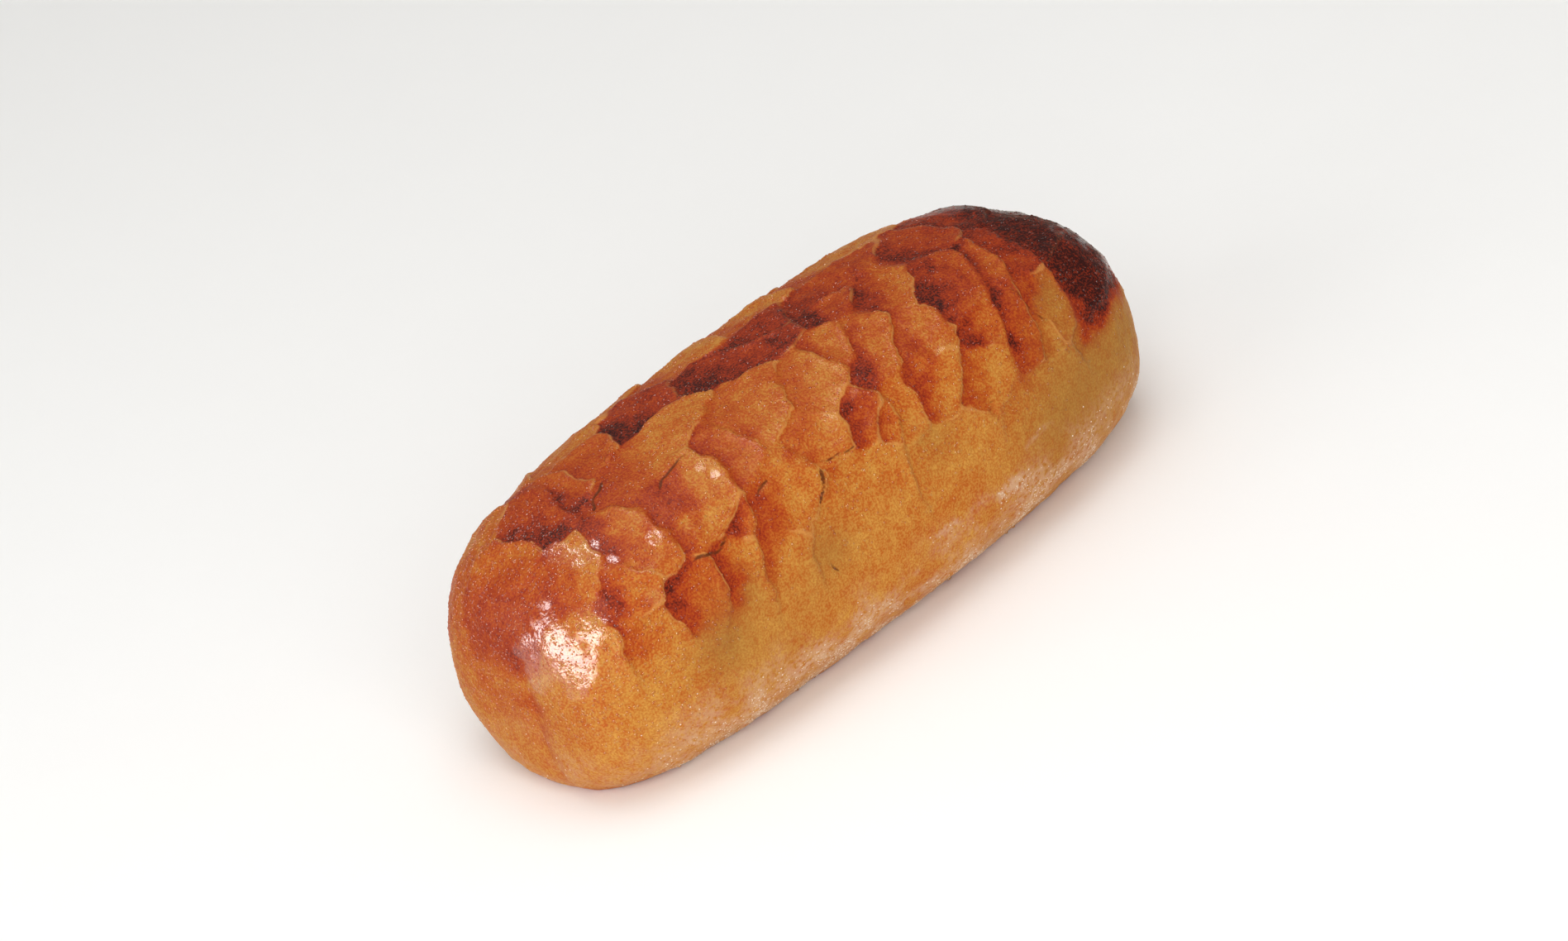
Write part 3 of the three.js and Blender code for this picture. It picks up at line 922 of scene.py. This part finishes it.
# %% Flour from the baking floor, partly painted sheen, and its scuffs: strength, width and a path of x and girth
FLOUR_TOP = (11, 37)
FLOUR_RUN = (-122, -85)
FLOUR_ENDS = (0.28, 1.0)
FLOUR_PATCHES = (1.0, 9, (44, 45, 46))
FLOUR_SPAN = (-0.55, 0.38)
SCUFFS_AND_SHEEN = [
    (0.8, 1.3, [(2, 0), (20, 1), (34, -1), (52, -2)]),
    (0.7, 1.8, [(30, -3), (44, -5), (60, -5)]),
    (0.5, 0.9, [(48, 6), (58, 8), (66, 7)]),
]


def flour_and_sheen_map():
    """How much flour lies on each point of the grid, partly as painted sheen."""
    patchy = smoothstep(rough(smooth, *FLOUR_PATCHES), *FLOUR_SPAN)
    flour = (1 - above(FLOUR_TOP)) * patchy * between(FLOUR_ENDS, beyond(FLOUR_RUN))
    for strength, width, corners in SCUFFS_AND_SHEEN:
        distance, _, inward = tear_field(smooth, tear_path(corners))
        flour += strength * patchy * smoothstep(inward, 0, TEAR_END) * np.exp(-((distance / width) ** 2))
    return np.clip(flour, 0, 1)


flour = flour_and_sheen_map()
print("flour, mean share:", round(float(flour.mean()), 3))

# %% Make the crust's mesh
BASE_RINGS = 4


def close_base(points, ring):
    """Flat rings and a last fan that close the base, as extra points and their faces."""
    rim = points[ring]
    inner = [rim * [1 - k / BASE_RINGS, 1 - k / BASE_RINGS, 0] for k in range(1, BASE_RINGS)]
    first = len(points)
    rings = [ring] + [first + k * len(ring) + np.arange(len(ring)) for k in range(BASE_RINGS - 1)]
    centre = first + (BASE_RINGS - 1) * len(ring)
    quads = [
        np.stack([outer, inner_ring, np.roll(inner_ring, -1), np.roll(outer, -1)], axis=1)
        for outer, inner_ring in itertools.pairwise(rings)
    ]
    last = rings[-1]
    fan = [(centre, int(b), int(a)) for a, b in zip(last, np.roll(last, -1))]
    return np.concatenate([*inner, [[0, 0, 0]]]), np.concatenate(quads), fan


BLISTER_SHARES = (0.3, 0.7)
BLISTER_REACH = (-70, -112)
BLISTER_LOW = (14, 34)
CLEAR_OF_FLOOR = (0.8, 1.2)
CRUMB_TOP = (2.5, 6)
BASE_FLOUR = 0.5
base_points, base_quads, base_fan = close_base(crust, base_ring)
all_points = np.concatenate([crust, base_points]) * MM
all_faces = [*faces.tolist(), *base_quads.tolist(), *base_fan]
crust_mesh = bpy.data.meshes.new("loaf_crust")
crust_mesh.from_pydata(all_points.tolist(), [], all_faces)
at_near_end = beyond(BLISTER_REACH) * above(BLISTER_LOW)
off_floor = above(CLEAR_OF_FLOOR)
in_foot = off_floor * (1 - above(CRUMB_TOP))

# One number for each point under each name: the crust's values, and the value all over the base.
STORED = {
    "bake": (bake / MOST_BAKE, BASE_BAKE / MOST_BAKE),
    "lip": (plated * plate_lip, 0),
    "tear": (tear_gap, TEAR_FAR),
    "rim": (rim_gap + WIDEST_GAP * (1 - plated), WIDEST_GAP),
    "glaze": (glaze, 0),
    "dull": (dull, 0),
    "flour": (flour, BASE_FLOUR),
    "blister": (BLISTER_SHARES[0] * plated + BLISTER_SHARES[1] * at_near_end, 0),
    "powder": (off_floor * flour**2, 0),
    "crumb": (in_foot * flour, 0),
}
for name, (values, on_base) in STORED.items():
    numbers = np.append(values, np.full(len(base_points), on_base)).astype(np.float32)
    crust_mesh.attributes.new(name, "FLOAT", "POINT").data.foreach_set("value", numbers)
crust_mesh.shade_smooth()


def add_object(name, contents):
    """Puts a mesh, lamp or camera into the scene as an object."""
    thing = bpy.data.objects.new(name, contents)
    bpy.context.scene.collection.objects.link(thing)
    return thing


loaf_crust = add_object("loaf_crust", crust_mesh)
print("crust:", sum(len(face) - 2 for face in all_faces), "triangles")

# %% [markdown]
# ## Small helpers for materials
# A material is a tree of nodes. One helper adds any node, sets its options and joins its inputs, so that
# each tree below reads as a list of what the surface does. Colours are written as they look on a screen;
# Blender's shaders count light in linear steps, so a second helper turns them.

# %% Node and colour helpers
MIX_A, MIX_B, MIX_RESULT = 6, 7, 2


def linear(hex_colour):
    """A screen colour such as #C9792B as linear red, green, blue and full alpha."""
    parts = [int(hex_colour[k:k + 2], 16) / 255 for k in (1, 3, 5)]
    return [part / 12.92 if part <= 0.04045 else ((part + 0.055) / 1.055) ** 2.4 for part in parts] + [1]


def add_node(tree, kind, inputs=None, **settings):
    """Adds a node with its settings; each input is joined to a socket or set to a value."""
    node = tree.nodes.new(kind)
    for name, value in settings.items():
        setattr(node, name, value)
    for name, value in (inputs or {}).items():
        if isinstance(value, bpy.types.NodeSocket):
            tree.links.new(value, node.inputs[name])
        else:
            node.inputs[name].default_value = value
    return node


def made(tree, output, kind, inputs=None, **settings):
    """One output of a new node."""
    return add_node(tree, kind, inputs, **settings).outputs[output]


def new_material(name, look):
    """A material with its output and a principled shader of a plain look."""
    material = bpy.data.materials.new(name)
    material.use_nodes = True
    tree = material.node_tree
    tree.nodes.clear()
    shader = add_node(tree, "ShaderNodeBsdfPrincipled", look)
    add_node(tree, "ShaderNodeOutputMaterial", {"Surface": shader.outputs["BSDF"]})
    return material, tree, shader


def per_metre(size_mm):
    """The scale of a noise whose features are about this many millimetres."""
    return 1 / (size_mm * MM)


def noise_texture(tree, coordinates, size, detail):
    """Noise from 0 to 1 whose features are about a size in millimetres."""
    inputs = {"Vector": coordinates, "Scale": per_metre(size), "Detail": detail}
    return made(tree, "Fac", "ShaderNodeTexNoise", inputs)


def remapped(tree, value, span, ends=(0.0, 1.0)):
    """A value moved smoothly from one span to another, and held at its ends."""
    labels = ("Value", "From Min", "From Max", "To Min", "To Max")
    inputs = dict(zip(labels, (value, *span, *ends)))
    return made(tree, 0, "ShaderNodeMapRange", inputs, interpolation_type="SMOOTHSTEP")


def reckoned(tree, operation, *values):
    """What a sum of one kind makes of its values."""
    return made(tree, 0, "ShaderNodeMath", dict(enumerate(values)), operation=operation)


def multiplied(tree, first, second):
    """The product of two values."""
    return reckoned(tree, "MULTIPLY", first, second)


def shaken(tree, value, size, strength, coordinates):
    """Adds centred noise of a feature size, times a strength, to a value."""
    centred = reckoned(tree, "SUBTRACT", noise_texture(tree, coordinates, size, 3.0), 0.5)
    return reckoned(tree, "MULTIPLY_ADD", centred, strength, value)


def mixed(tree, factor, first, second):
    """A colour between two others."""
    inputs = {0: factor, MIX_A: first, MIX_B: second}
    return made(tree, MIX_RESULT, "ShaderNodeMix", inputs, data_type="RGBA")


def bumpy(tree, coordinates, size, depth, **below):
    """The normal of a surface dimpled at a size and a depth in millimetres."""
    height = noise_texture(tree, coordinates, size, 2.0)
    return made(tree, "Normal", "ShaderNodeBump", {"Height": height, "Distance": depth * MM, **below})


print("sample colour:", [round(part, 3) for part in linear("#C9792B")])

# %% [markdown]
# ## Baked, egg-washed wheat crust
# The crust was brushed with egg before baking, so it has a thin clear glaze over a dry brown skin. The
# brown comes from sugars and proteins that darken in steps: gold, orange, red-brown and near-black. The
# glaze is a little rough and dimpled, which breaks its highlights into glints. So the shader is a
# dielectric of middling roughness under a smoother clear coat as strong as the stored glaze, its colour a
# ramp over the stored bake, shaken by mottling about 4 mm wide and specks under 1 mm. Pale lines on the
# lips are painted highlights; the bake and the dull gold hold some painted shade, and the flour some
# painted sheen. A faint warm sheen stands for the dry skin's velvety look.

# %% Egg-washed wheat crust
BAKE_COLOURS = [
    (0.00, "#CB9140"),
    (0.10, "#C08138"),
    (0.20, "#BC752E"),
    (0.30, "#B66022"),
    (0.45, "#AC4B18"),
    (0.60, "#9F3916"),
    (0.70, "#912F16"),
    (0.80, "#7A2815"),
    (0.90, "#541C13"),
    (1.00, "#351411"),
]
MOTTLE_SIZE = 4.0
MOTTLE = 0.4
SPECK_SIZE = 0.7
SPECK_SPAN = (0.36, 0.64)
SPECK = (0.10, 0.11)
SPECK_BAKE = (0.15, 0.45)
# Pale lines on the lips are painted highlights, fading on the darker plates.
LIP_HIGHLIGHT_COLOUR = "#CF8F48"
LIP_HIGHLIGHT_WIDTH = (0.2, 0.9)
LIP_HIGHLIGHT_SHARE = 0.6
LIP_HIGHLIGHT_SPAN = (0.1, 0.45)
LIP_HIGHLIGHT_BAKE = (0.5, 0.8)
LIP_HIGHLIGHT_LEFT = 0.05
TEAR_COLOUR = "#5E2A10"
TEAR_WIDTH = (0.45, 0.95)
TEAR_SHARE = 0.9
# Dull greenish gold, partly real and partly painted shade on the low side.
DULL_AND_SHADE_COLOUR = "#8F6830"
DULL_AND_SHADE_SHARE = 0.6
DULL_AND_SHADE_BAKE = (0.35, 0.65)
# The pale flour colour is partly flour and partly painted sheen where the side turns toward the floor.
FLOUR_AND_SHEEN_COLOUR = "#CFA98A"
FLOUR_AND_SHEEN_SHARE = 0.9
FLOUR_SIZE = 1.6
FLOUR_CLOUD = (0.3, 0.6)
DIMPLE_SIZE = 0.9
DIMPLE_DEPTH = 0.2
PEBBLE_SIZE = 2.4
PEBBLE_DEPTH = 0.25
CRUST_LOOK = {
    "Roughness": 0.6,
    "IOR": 1.45,
    "Specular IOR Level": 0.05,
    "Coat Roughness": 0.13,
    "Coat IOR": 1.5,
    "Sheen Weight": 0.18,
    "Sheen Roughness": 0.25,
    "Sheen Tint": linear("#FFE2C0"),
}


def crust_colour(tree, stored, coordinates):
    """Gold to near-black by bake and painted shade, with mottling, painted highlights on the lips, dull
    gold partly painted shade, dark tears, and flour partly painted sheen near the floor.
    """
    value = shaken(tree, stored["bake"], MOTTLE_SIZE, MOTTLE, coordinates)
    strength = remapped(tree, stored["bake"], SPECK_BAKE, SPECK)
    specks = remapped(tree, noise_texture(tree, coordinates, SPECK_SIZE, 2.0), SPECK_SPAN, (-1.0, 1.0))
    value = reckoned(tree, "MULTIPLY_ADD", specks, strength, value)
    ramp = add_node(tree, "ShaderNodeValToRGB", {"Fac": value})
    ramp.color_ramp.elements.remove(ramp.color_ramp.elements[1])
    for number, (place, shade) in enumerate(BAKE_COLOURS):
        element = ramp.color_ramp.elements[0] if number == 0 else ramp.color_ramp.elements.new(place)
        element.position = place
        element.color = linear(shade)
    # Dull greenish gold, partly painted shade.
    dull = multiplied(tree, stored["dull"], remapped(tree, stored["bake"], DULL_AND_SHADE_BAKE, (DULL_AND_SHADE_SHARE, 0.0)))
    colour = mixed(tree, dull, ramp.outputs["Color"], linear(DULL_AND_SHADE_COLOUR))
    # Pale lines on the lips: painted highlights.
    lip_highlight = remapped(tree, stored["rim"], LIP_HIGHLIGHT_WIDTH, (LIP_HIGHLIGHT_SHARE, 0.0))
    lip_highlight = multiplied(tree, lip_highlight, remapped(tree, stored["lip"], LIP_HIGHLIGHT_SPAN))
    lip_highlight = multiplied(tree, lip_highlight, remapped(tree, stored["bake"], LIP_HIGHLIGHT_BAKE, (1.0, LIP_HIGHLIGHT_LEFT)))
    colour = mixed(tree, lip_highlight, colour, linear(LIP_HIGHLIGHT_COLOUR))
    in_tear = remapped(tree, stored["tear"], TEAR_WIDTH, (TEAR_SHARE, 0.0))
    colour = mixed(tree, in_tear, colour, linear(TEAR_COLOUR))
    # Flour colour, partly painted sheen.
    cloud = remapped(tree, noise_texture(tree, coordinates, FLOUR_SIZE, 4.0), FLOUR_CLOUD)
    flour_and_sheen_mix = multiplied(tree, multiplied(tree, stored["flour"], FLOUR_AND_SHEEN_SHARE), cloud)
    return mixed(tree, flour_and_sheen_mix, colour, linear(FLOUR_AND_SHEEN_COLOUR))


def crust_material():
    """Gold to near-black crust under a dimpled egg glaze."""
    material, tree, shader = new_material("egg_washed_wheat_crust", CRUST_LOOK)
    coordinates = made(tree, "Object", "ShaderNodeTexCoord")
    stored = {
        name: made(tree, "Fac", "ShaderNodeAttribute", attribute_name=name)
        for name in ("bake", "lip", "rim", "tear", "glaze", "dull", "flour")
    }
    tree.links.new(crust_colour(tree, stored, coordinates), shader.inputs["Base Color"])
    coarse = bumpy(tree, coordinates, PEBBLE_SIZE, PEBBLE_DEPTH)
    fine = bumpy(tree, coordinates, DIMPLE_SIZE, DIMPLE_DEPTH, Normal=coarse)
    tree.links.new(fine, shader.inputs["Normal"])
    tree.links.new(fine, shader.inputs["Coat Normal"])
    tree.links.new(stored["glaze"], shader.inputs["Coat Weight"])
    return material


crust_skin = crust_material()
crust_mesh.materials.append(crust_skin)
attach(loaf_crust, "root")
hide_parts("loaf")
print("material:", crust_mesh.materials[0].name)

# %% [markdown]
# ## Small lumps on the crust
# Three kinds of small lumps sit on the real loaf: blisters in the egg glaze, grains of flour from the
# baking floor, and crumbs of dough along the foot. There are thousands, and each kind follows the
# surface, so a node tree scatters them: points fall more thickly where a number stored on the crust is
# greater, each gets a small ball of random size turned to the surface, and the balls are made uneven by
# noise. Placing them by hand could not follow the relief, and a bump in the material would not stand out
# at the silhouette.

# %% A node tree that scatters lumps over a surface
LUMP_INPUTS = {
    "Surface": "NodeSocketGeometry",
    "Lumps per square metre": "NodeSocketFloat",
    "Thicker where": "NodeSocketString",
    "Smallest radius": "NodeSocketFloat",
    "Largest radius": "NodeSocketFloat",
    "Squash": "NodeSocketVector",
    "Fineness": "NodeSocketInt",
    "Unevenness": "NodeSocketFloat",
    "Gloss": "NodeSocketFloat",
    "Seed": "NodeSocketInt",
    "Finish": "NodeSocketMaterial",
}
UNEVEN_SIZE = 0.6


def lump_tree():
    """Scatters uneven balls over a surface, thicker where a stored number is greater."""
    tree = bpy.data.node_groups.new("scattered_lumps", "GeometryNodeTree")
    for name, kind in LUMP_INPUTS.items():
        tree.interface.new_socket(name, in_out="INPUT", socket_type=kind)
    tree.interface.new_socket("Lumps", in_out="OUTPUT", socket_type="NodeSocketGeometry")
    given = add_node(tree, "NodeGroupInput").outputs
    share = made(tree, 0, "GeometryNodeInputNamedAttribute", {"Name": given["Thicker where"]})
    density = multiplied(tree, share, given["Lumps per square metre"])
    where = {"Mesh": given["Surface"], "Density": density, "Seed": given["Seed"]}
    points = add_node(tree, "GeometryNodeDistributePointsOnFaces", where).outputs
    round_form = {"Radius": 1.0, "Subdivisions": given["Fineness"]}
    ball = made(tree, "Mesh", "GeometryNodeMeshIcoSphere", round_form)
    radii = {"Min": given["Smallest radius"], "Max": given["Largest radius"], "Seed": given["Seed"]}
    radius = made(tree, "Value", "FunctionNodeRandomValue", radii)
    scaling = {0: given["Squash"], "Scale": radius}
    size = made(tree, "Vector", "ShaderNodeVectorMath", scaling, operation="SCALE")
    placing = {"Points": points["Points"], "Instance": ball, "Rotation": points["Rotation"], "Scale": size}
    placed = made(tree, "Instances", "GeometryNodeInstanceOnPoints", placing)
    plain = made(tree, "Geometry", "GeometryNodeRealizeInstances", {"Geometry": placed})
    wave = made(tree, "Color", "ShaderNodeTexNoise", {"Scale": per_metre(UNEVEN_SIZE)})
    centring = {0: wave, 1: (0.5, 0.5, 0.5)}
    centred = made(tree, "Vector", "ShaderNodeVectorMath", centring, operation="SUBTRACT")
    pushing = {0: centred, "Scale": given["Unevenness"]}
    push = made(tree, "Vector", "ShaderNodeVectorMath", pushing, operation="SCALE")
    uneven = made(tree, "Geometry", "GeometryNodeSetPosition", {"Geometry": plain, "Offset": push})
    gloss = {"Geometry": uneven, "Name": "glaze", "Value": given["Gloss"]}
    glossed = made(tree, "Geometry", "GeometryNodeStoreNamedAttribute", gloss)
    finish = {"Geometry": glossed, "Material": given["Finish"]}
    dressed = made(tree, "Geometry", "GeometryNodeSetMaterial", finish)
    add_node(tree, "NodeGroupOutput", {"Lumps": dressed})
    return tree


lumps = lump_tree()
print("lump tree:", len(lumps.nodes), "nodes")

# %% Grow each kind and keep it as a plain mesh
def grow(name, values):
    """Grows one kind of lump on the crust, as a plain mesh at its true size."""
    host = add_object(name + "_host", crust_mesh.copy())
    modifier = host.modifiers.new(name, "NODES")
    modifier.node_group = lumps
    sockets = [item for item in lumps.interface.items_tree if item.in_out == "INPUT"]
    identifiers = {item.name: item.identifier for item in sockets}
    for label, value in values.items():
        modifier[identifiers[label]] = value
    host.update_tag()
    grown = bpy.data.meshes.new_from_object(host.evaluated_get(bpy.context.evaluated_depsgraph_get()))
    bpy.data.objects.remove(host)
    grown.name = name
    grown.shade_smooth()
    lump = add_object(name, grown)
    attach(lump, "root")
    print(name, len(grown.polygons), "triangles")


# %% [markdown]
# ## Blisters, flour and crumbs
# The blisters are low domes of the same skin, on the plates and the near end. They carry the crust's
# stored numbers, so each takes the colour of its place, but they have a gloss of their own. Flour is a
# matt cream powder. The crumbs are rubbed-off bits of crust, drier and paler than the skin, and they lie
# only in the foot's last millimetres.

# %% Flour and crumb finishes
POWDER_LOOK = {"Roughness": 0.85, "IOR": 1.45}
POWDER_SPAN = (0.35, 0.65)


def powder_material(name, pale, deep, size):
    """A matt powdery finish between two shades."""
    material, tree, shader = new_material(name, POWDER_LOOK)
    coordinates = made(tree, "Object", "ShaderNodeTexCoord")
    shade = remapped(tree, noise_texture(tree, coordinates, size, 2.0), POWDER_SPAN)
    tree.links.new(mixed(tree, shade, linear(pale), linear(deep)), shader.inputs["Base Color"])
    return material


flour_powder = powder_material("wheat_flour", "#EAD9C2", "#D9BC98", 1.5)
crumb_dry = powder_material("dry_crust_crumb", "#C98F52", "#8A5526", 3.0)
print("materials:", flour_powder.name, "and", crumb_dry.name)

# %% Grow them: each row is an input of the tree, with its value for blisters, flour and crumbs
LUMP_KINDS = {
    "Lumps per square metre": (450000.0, 600000.0, 20000.0),
    "Thicker where": ("blister", "powder", "crumb"),
    "Smallest radius": (0.22 * MM, 0.12 * MM, 0.3 * MM),
    "Largest radius": (0.55 * MM, 0.36 * MM, 0.95 * MM),
    "Squash": ((1.0, 1.0, 0.4), (1.0, 0.8, 0.6), (1.0, 0.8, 0.6)),
    "Fineness": (1, 1, 2),
    "Unevenness": (0.0, 0.1 * MM, 0.6 * MM),
    "Gloss": (0.6, 0.0, 0.0),
    "Seed": (4, 7, 11),
    "Finish": (crust_skin, flour_powder, crumb_dry),
}
for column, name in enumerate(("glaze_blisters", "flour_grains", "foot_crumbs")):
    grow(name, {label: row[column] for label, row in LUMP_KINDS.items()})

# %% [markdown]
# ## Floor, light and camera
# The photograph is a studio cut-out on white. A pale matt floor, a white surrounding and three large soft
# lamps give the same even light, without highlights. Three smaller lamps give only highlights: one low
# beyond the near end makes the bright patch on the shoulder, and one above and one behind the crown make
# the lit lips.

# %% Floor
FLOOR_SIZE = 3.0
PAPER_GRAIN = 30
floor_mesh = bpy.data.meshes.new("floor")
corners = [(x * FLOOR_SIZE, y * FLOOR_SIZE, 0) for x, y in ((-1, -1), (1, -1), (1, 1), (-1, 1))]
floor_mesh.from_pydata(corners, [], [(0, 1, 2, 3)])
floor = add_object("floor", floor_mesh)
paper, paper_tree, paper_shader = new_material("matt_white_paper", {"Roughness": 0.9})
paper_place = made(paper_tree, "Object", "ShaderNodeTexCoord")
grain_inputs = {"Vector": paper_place, "Scale": per_metre(PAPER_GRAIN)}
paper_grain = made(paper_tree, "Fac", "ShaderNodeTexNoise", grain_inputs)
paper_colour = mixed(paper_tree, paper_grain, linear("#FAF9F7"), linear("#FCFBF9"))
paper_tree.links.new(paper_colour, paper_shader.inputs["Base Color"])
floor_mesh.materials.append(paper)
print("floor:", 2 * FLOOR_SIZE, "m square")

# %% Lights
SURROUND_STRENGTH = 0.45
LAMP_TARGET = Vector((0, 0, 0.04))
LAMPS = [
    ("front_lamp", (-0.45, -0.85, 0.55), 1.6, (1.2, 1.2), 12.0),
    ("top_lamp", (-0.05, -0.10, 1.00), 1.6, (1.2, 1.2), 9.0),
    ("end_lamp", (-1.00, 0.10, 0.45), 1.6, (1.0, 1.0), 5.0),
]
SHINE_LAMPS = [
    ("shoulder_shine", (-0.94, -0.08, 0.29), 1.1, (1.6, 0.65), 55),
    ("top_shine", (0.10, -0.10, 0.98), 1.3, (0.55, 0.55), 24),
    ("crown_shine", (0.06, 0.42, 0.90), 1.3, (0.4, 0.28), 8.5),
]


def add_lamp(name, toward, distance, sides, power):
    """A soft lamp with two sides in metres that faces the loaf."""
    lamp_data = bpy.data.lights.new(name, "AREA")
    lamp_data.shape = "RECTANGLE"
    lamp_data.size, lamp_data.size_y = sides
    lamp_data.energy = power
    lamp = add_object(name, lamp_data)
    direction_to_lamp = Vector(toward).normalized()
    lamp.location = LAMP_TARGET + direction_to_lamp * distance
    lamp.rotation_euler = direction_to_lamp.to_track_quat("Z", "Y").to_euler()
    return lamp


for lamp in LAMPS:
    add_lamp(*lamp).visible_glossy = False
for lamp in SHINE_LAMPS:
    add_lamp(*lamp).visible_diffuse = False

world = bpy.data.worlds.new("white_surround")
world.use_nodes = True
surround = world.node_tree.nodes["Background"].inputs
surround["Color"].default_value = linear("#F7F7F5")
surround["Strength"].default_value = SURROUND_STRENGTH
bpy.context.scene.world = world
bpy.context.scene.view_settings.view_transform = "Standard"
print("lamps:", len(LAMPS) + len(SHINE_LAMPS))

# %% Camera at the photograph's viewing angle
IMAGE_WIDTH = 1897
IMAGE_CENTRE = (948.5, 569.0)
AIM_PIXEL = (966.3, 576.5)
AIM_SHARE = 0.45
PIXELS_PER_METRE = 3818.0
CAMERA_DISTANCE = 2.6
CAMERA_HEIGHT_ANGLE = math.radians(31)
CAMERA_TURN = math.radians(34.22)
CAMERA_ROLL = math.radians(17)
SENSOR_WIDTH = 36.0

level_right = Vector((math.cos(CAMERA_TURN), -math.sin(CAMERA_TURN), 0))
back = Vector((
    -math.sin(CAMERA_TURN) * math.cos(CAMERA_HEIGHT_ANGLE),
    -math.cos(CAMERA_TURN) * math.cos(CAMERA_HEIGHT_ANGLE),
    math.sin(CAMERA_HEIGHT_ANGLE),
))
level_up = back.cross(level_right)
right = math.cos(CAMERA_ROLL) * level_right - math.sin(CAMERA_ROLL) * level_up
up = math.sin(CAMERA_ROLL) * level_right + math.cos(CAMERA_ROLL) * level_up
aside = (AIM_PIXEL[0] - IMAGE_CENTRE[0]) / PIXELS_PER_METRE
aloft = (IMAGE_CENTRE[1] - AIM_PIXEL[1]) / PIXELS_PER_METRE
place = Vector((0, 0, AIM_SHARE * HEIGHT * MM)) + back * CAMERA_DISTANCE - right * aside - up * aloft
camera_data = bpy.data.cameras.new("camera")
camera_data.sensor_width = SENSOR_WIDTH
camera_data.lens = PIXELS_PER_METRE * CAMERA_DISTANCE * SENSOR_WIDTH / IMAGE_WIDTH
camera = add_object("camera", camera_data)
camera.matrix_world = Matrix.Translation(place) @ Matrix((right, up, back)).transposed().to_4x4()
bpy.context.scene.camera = camera
print("lens, mm:", round(camera_data.lens, 1))
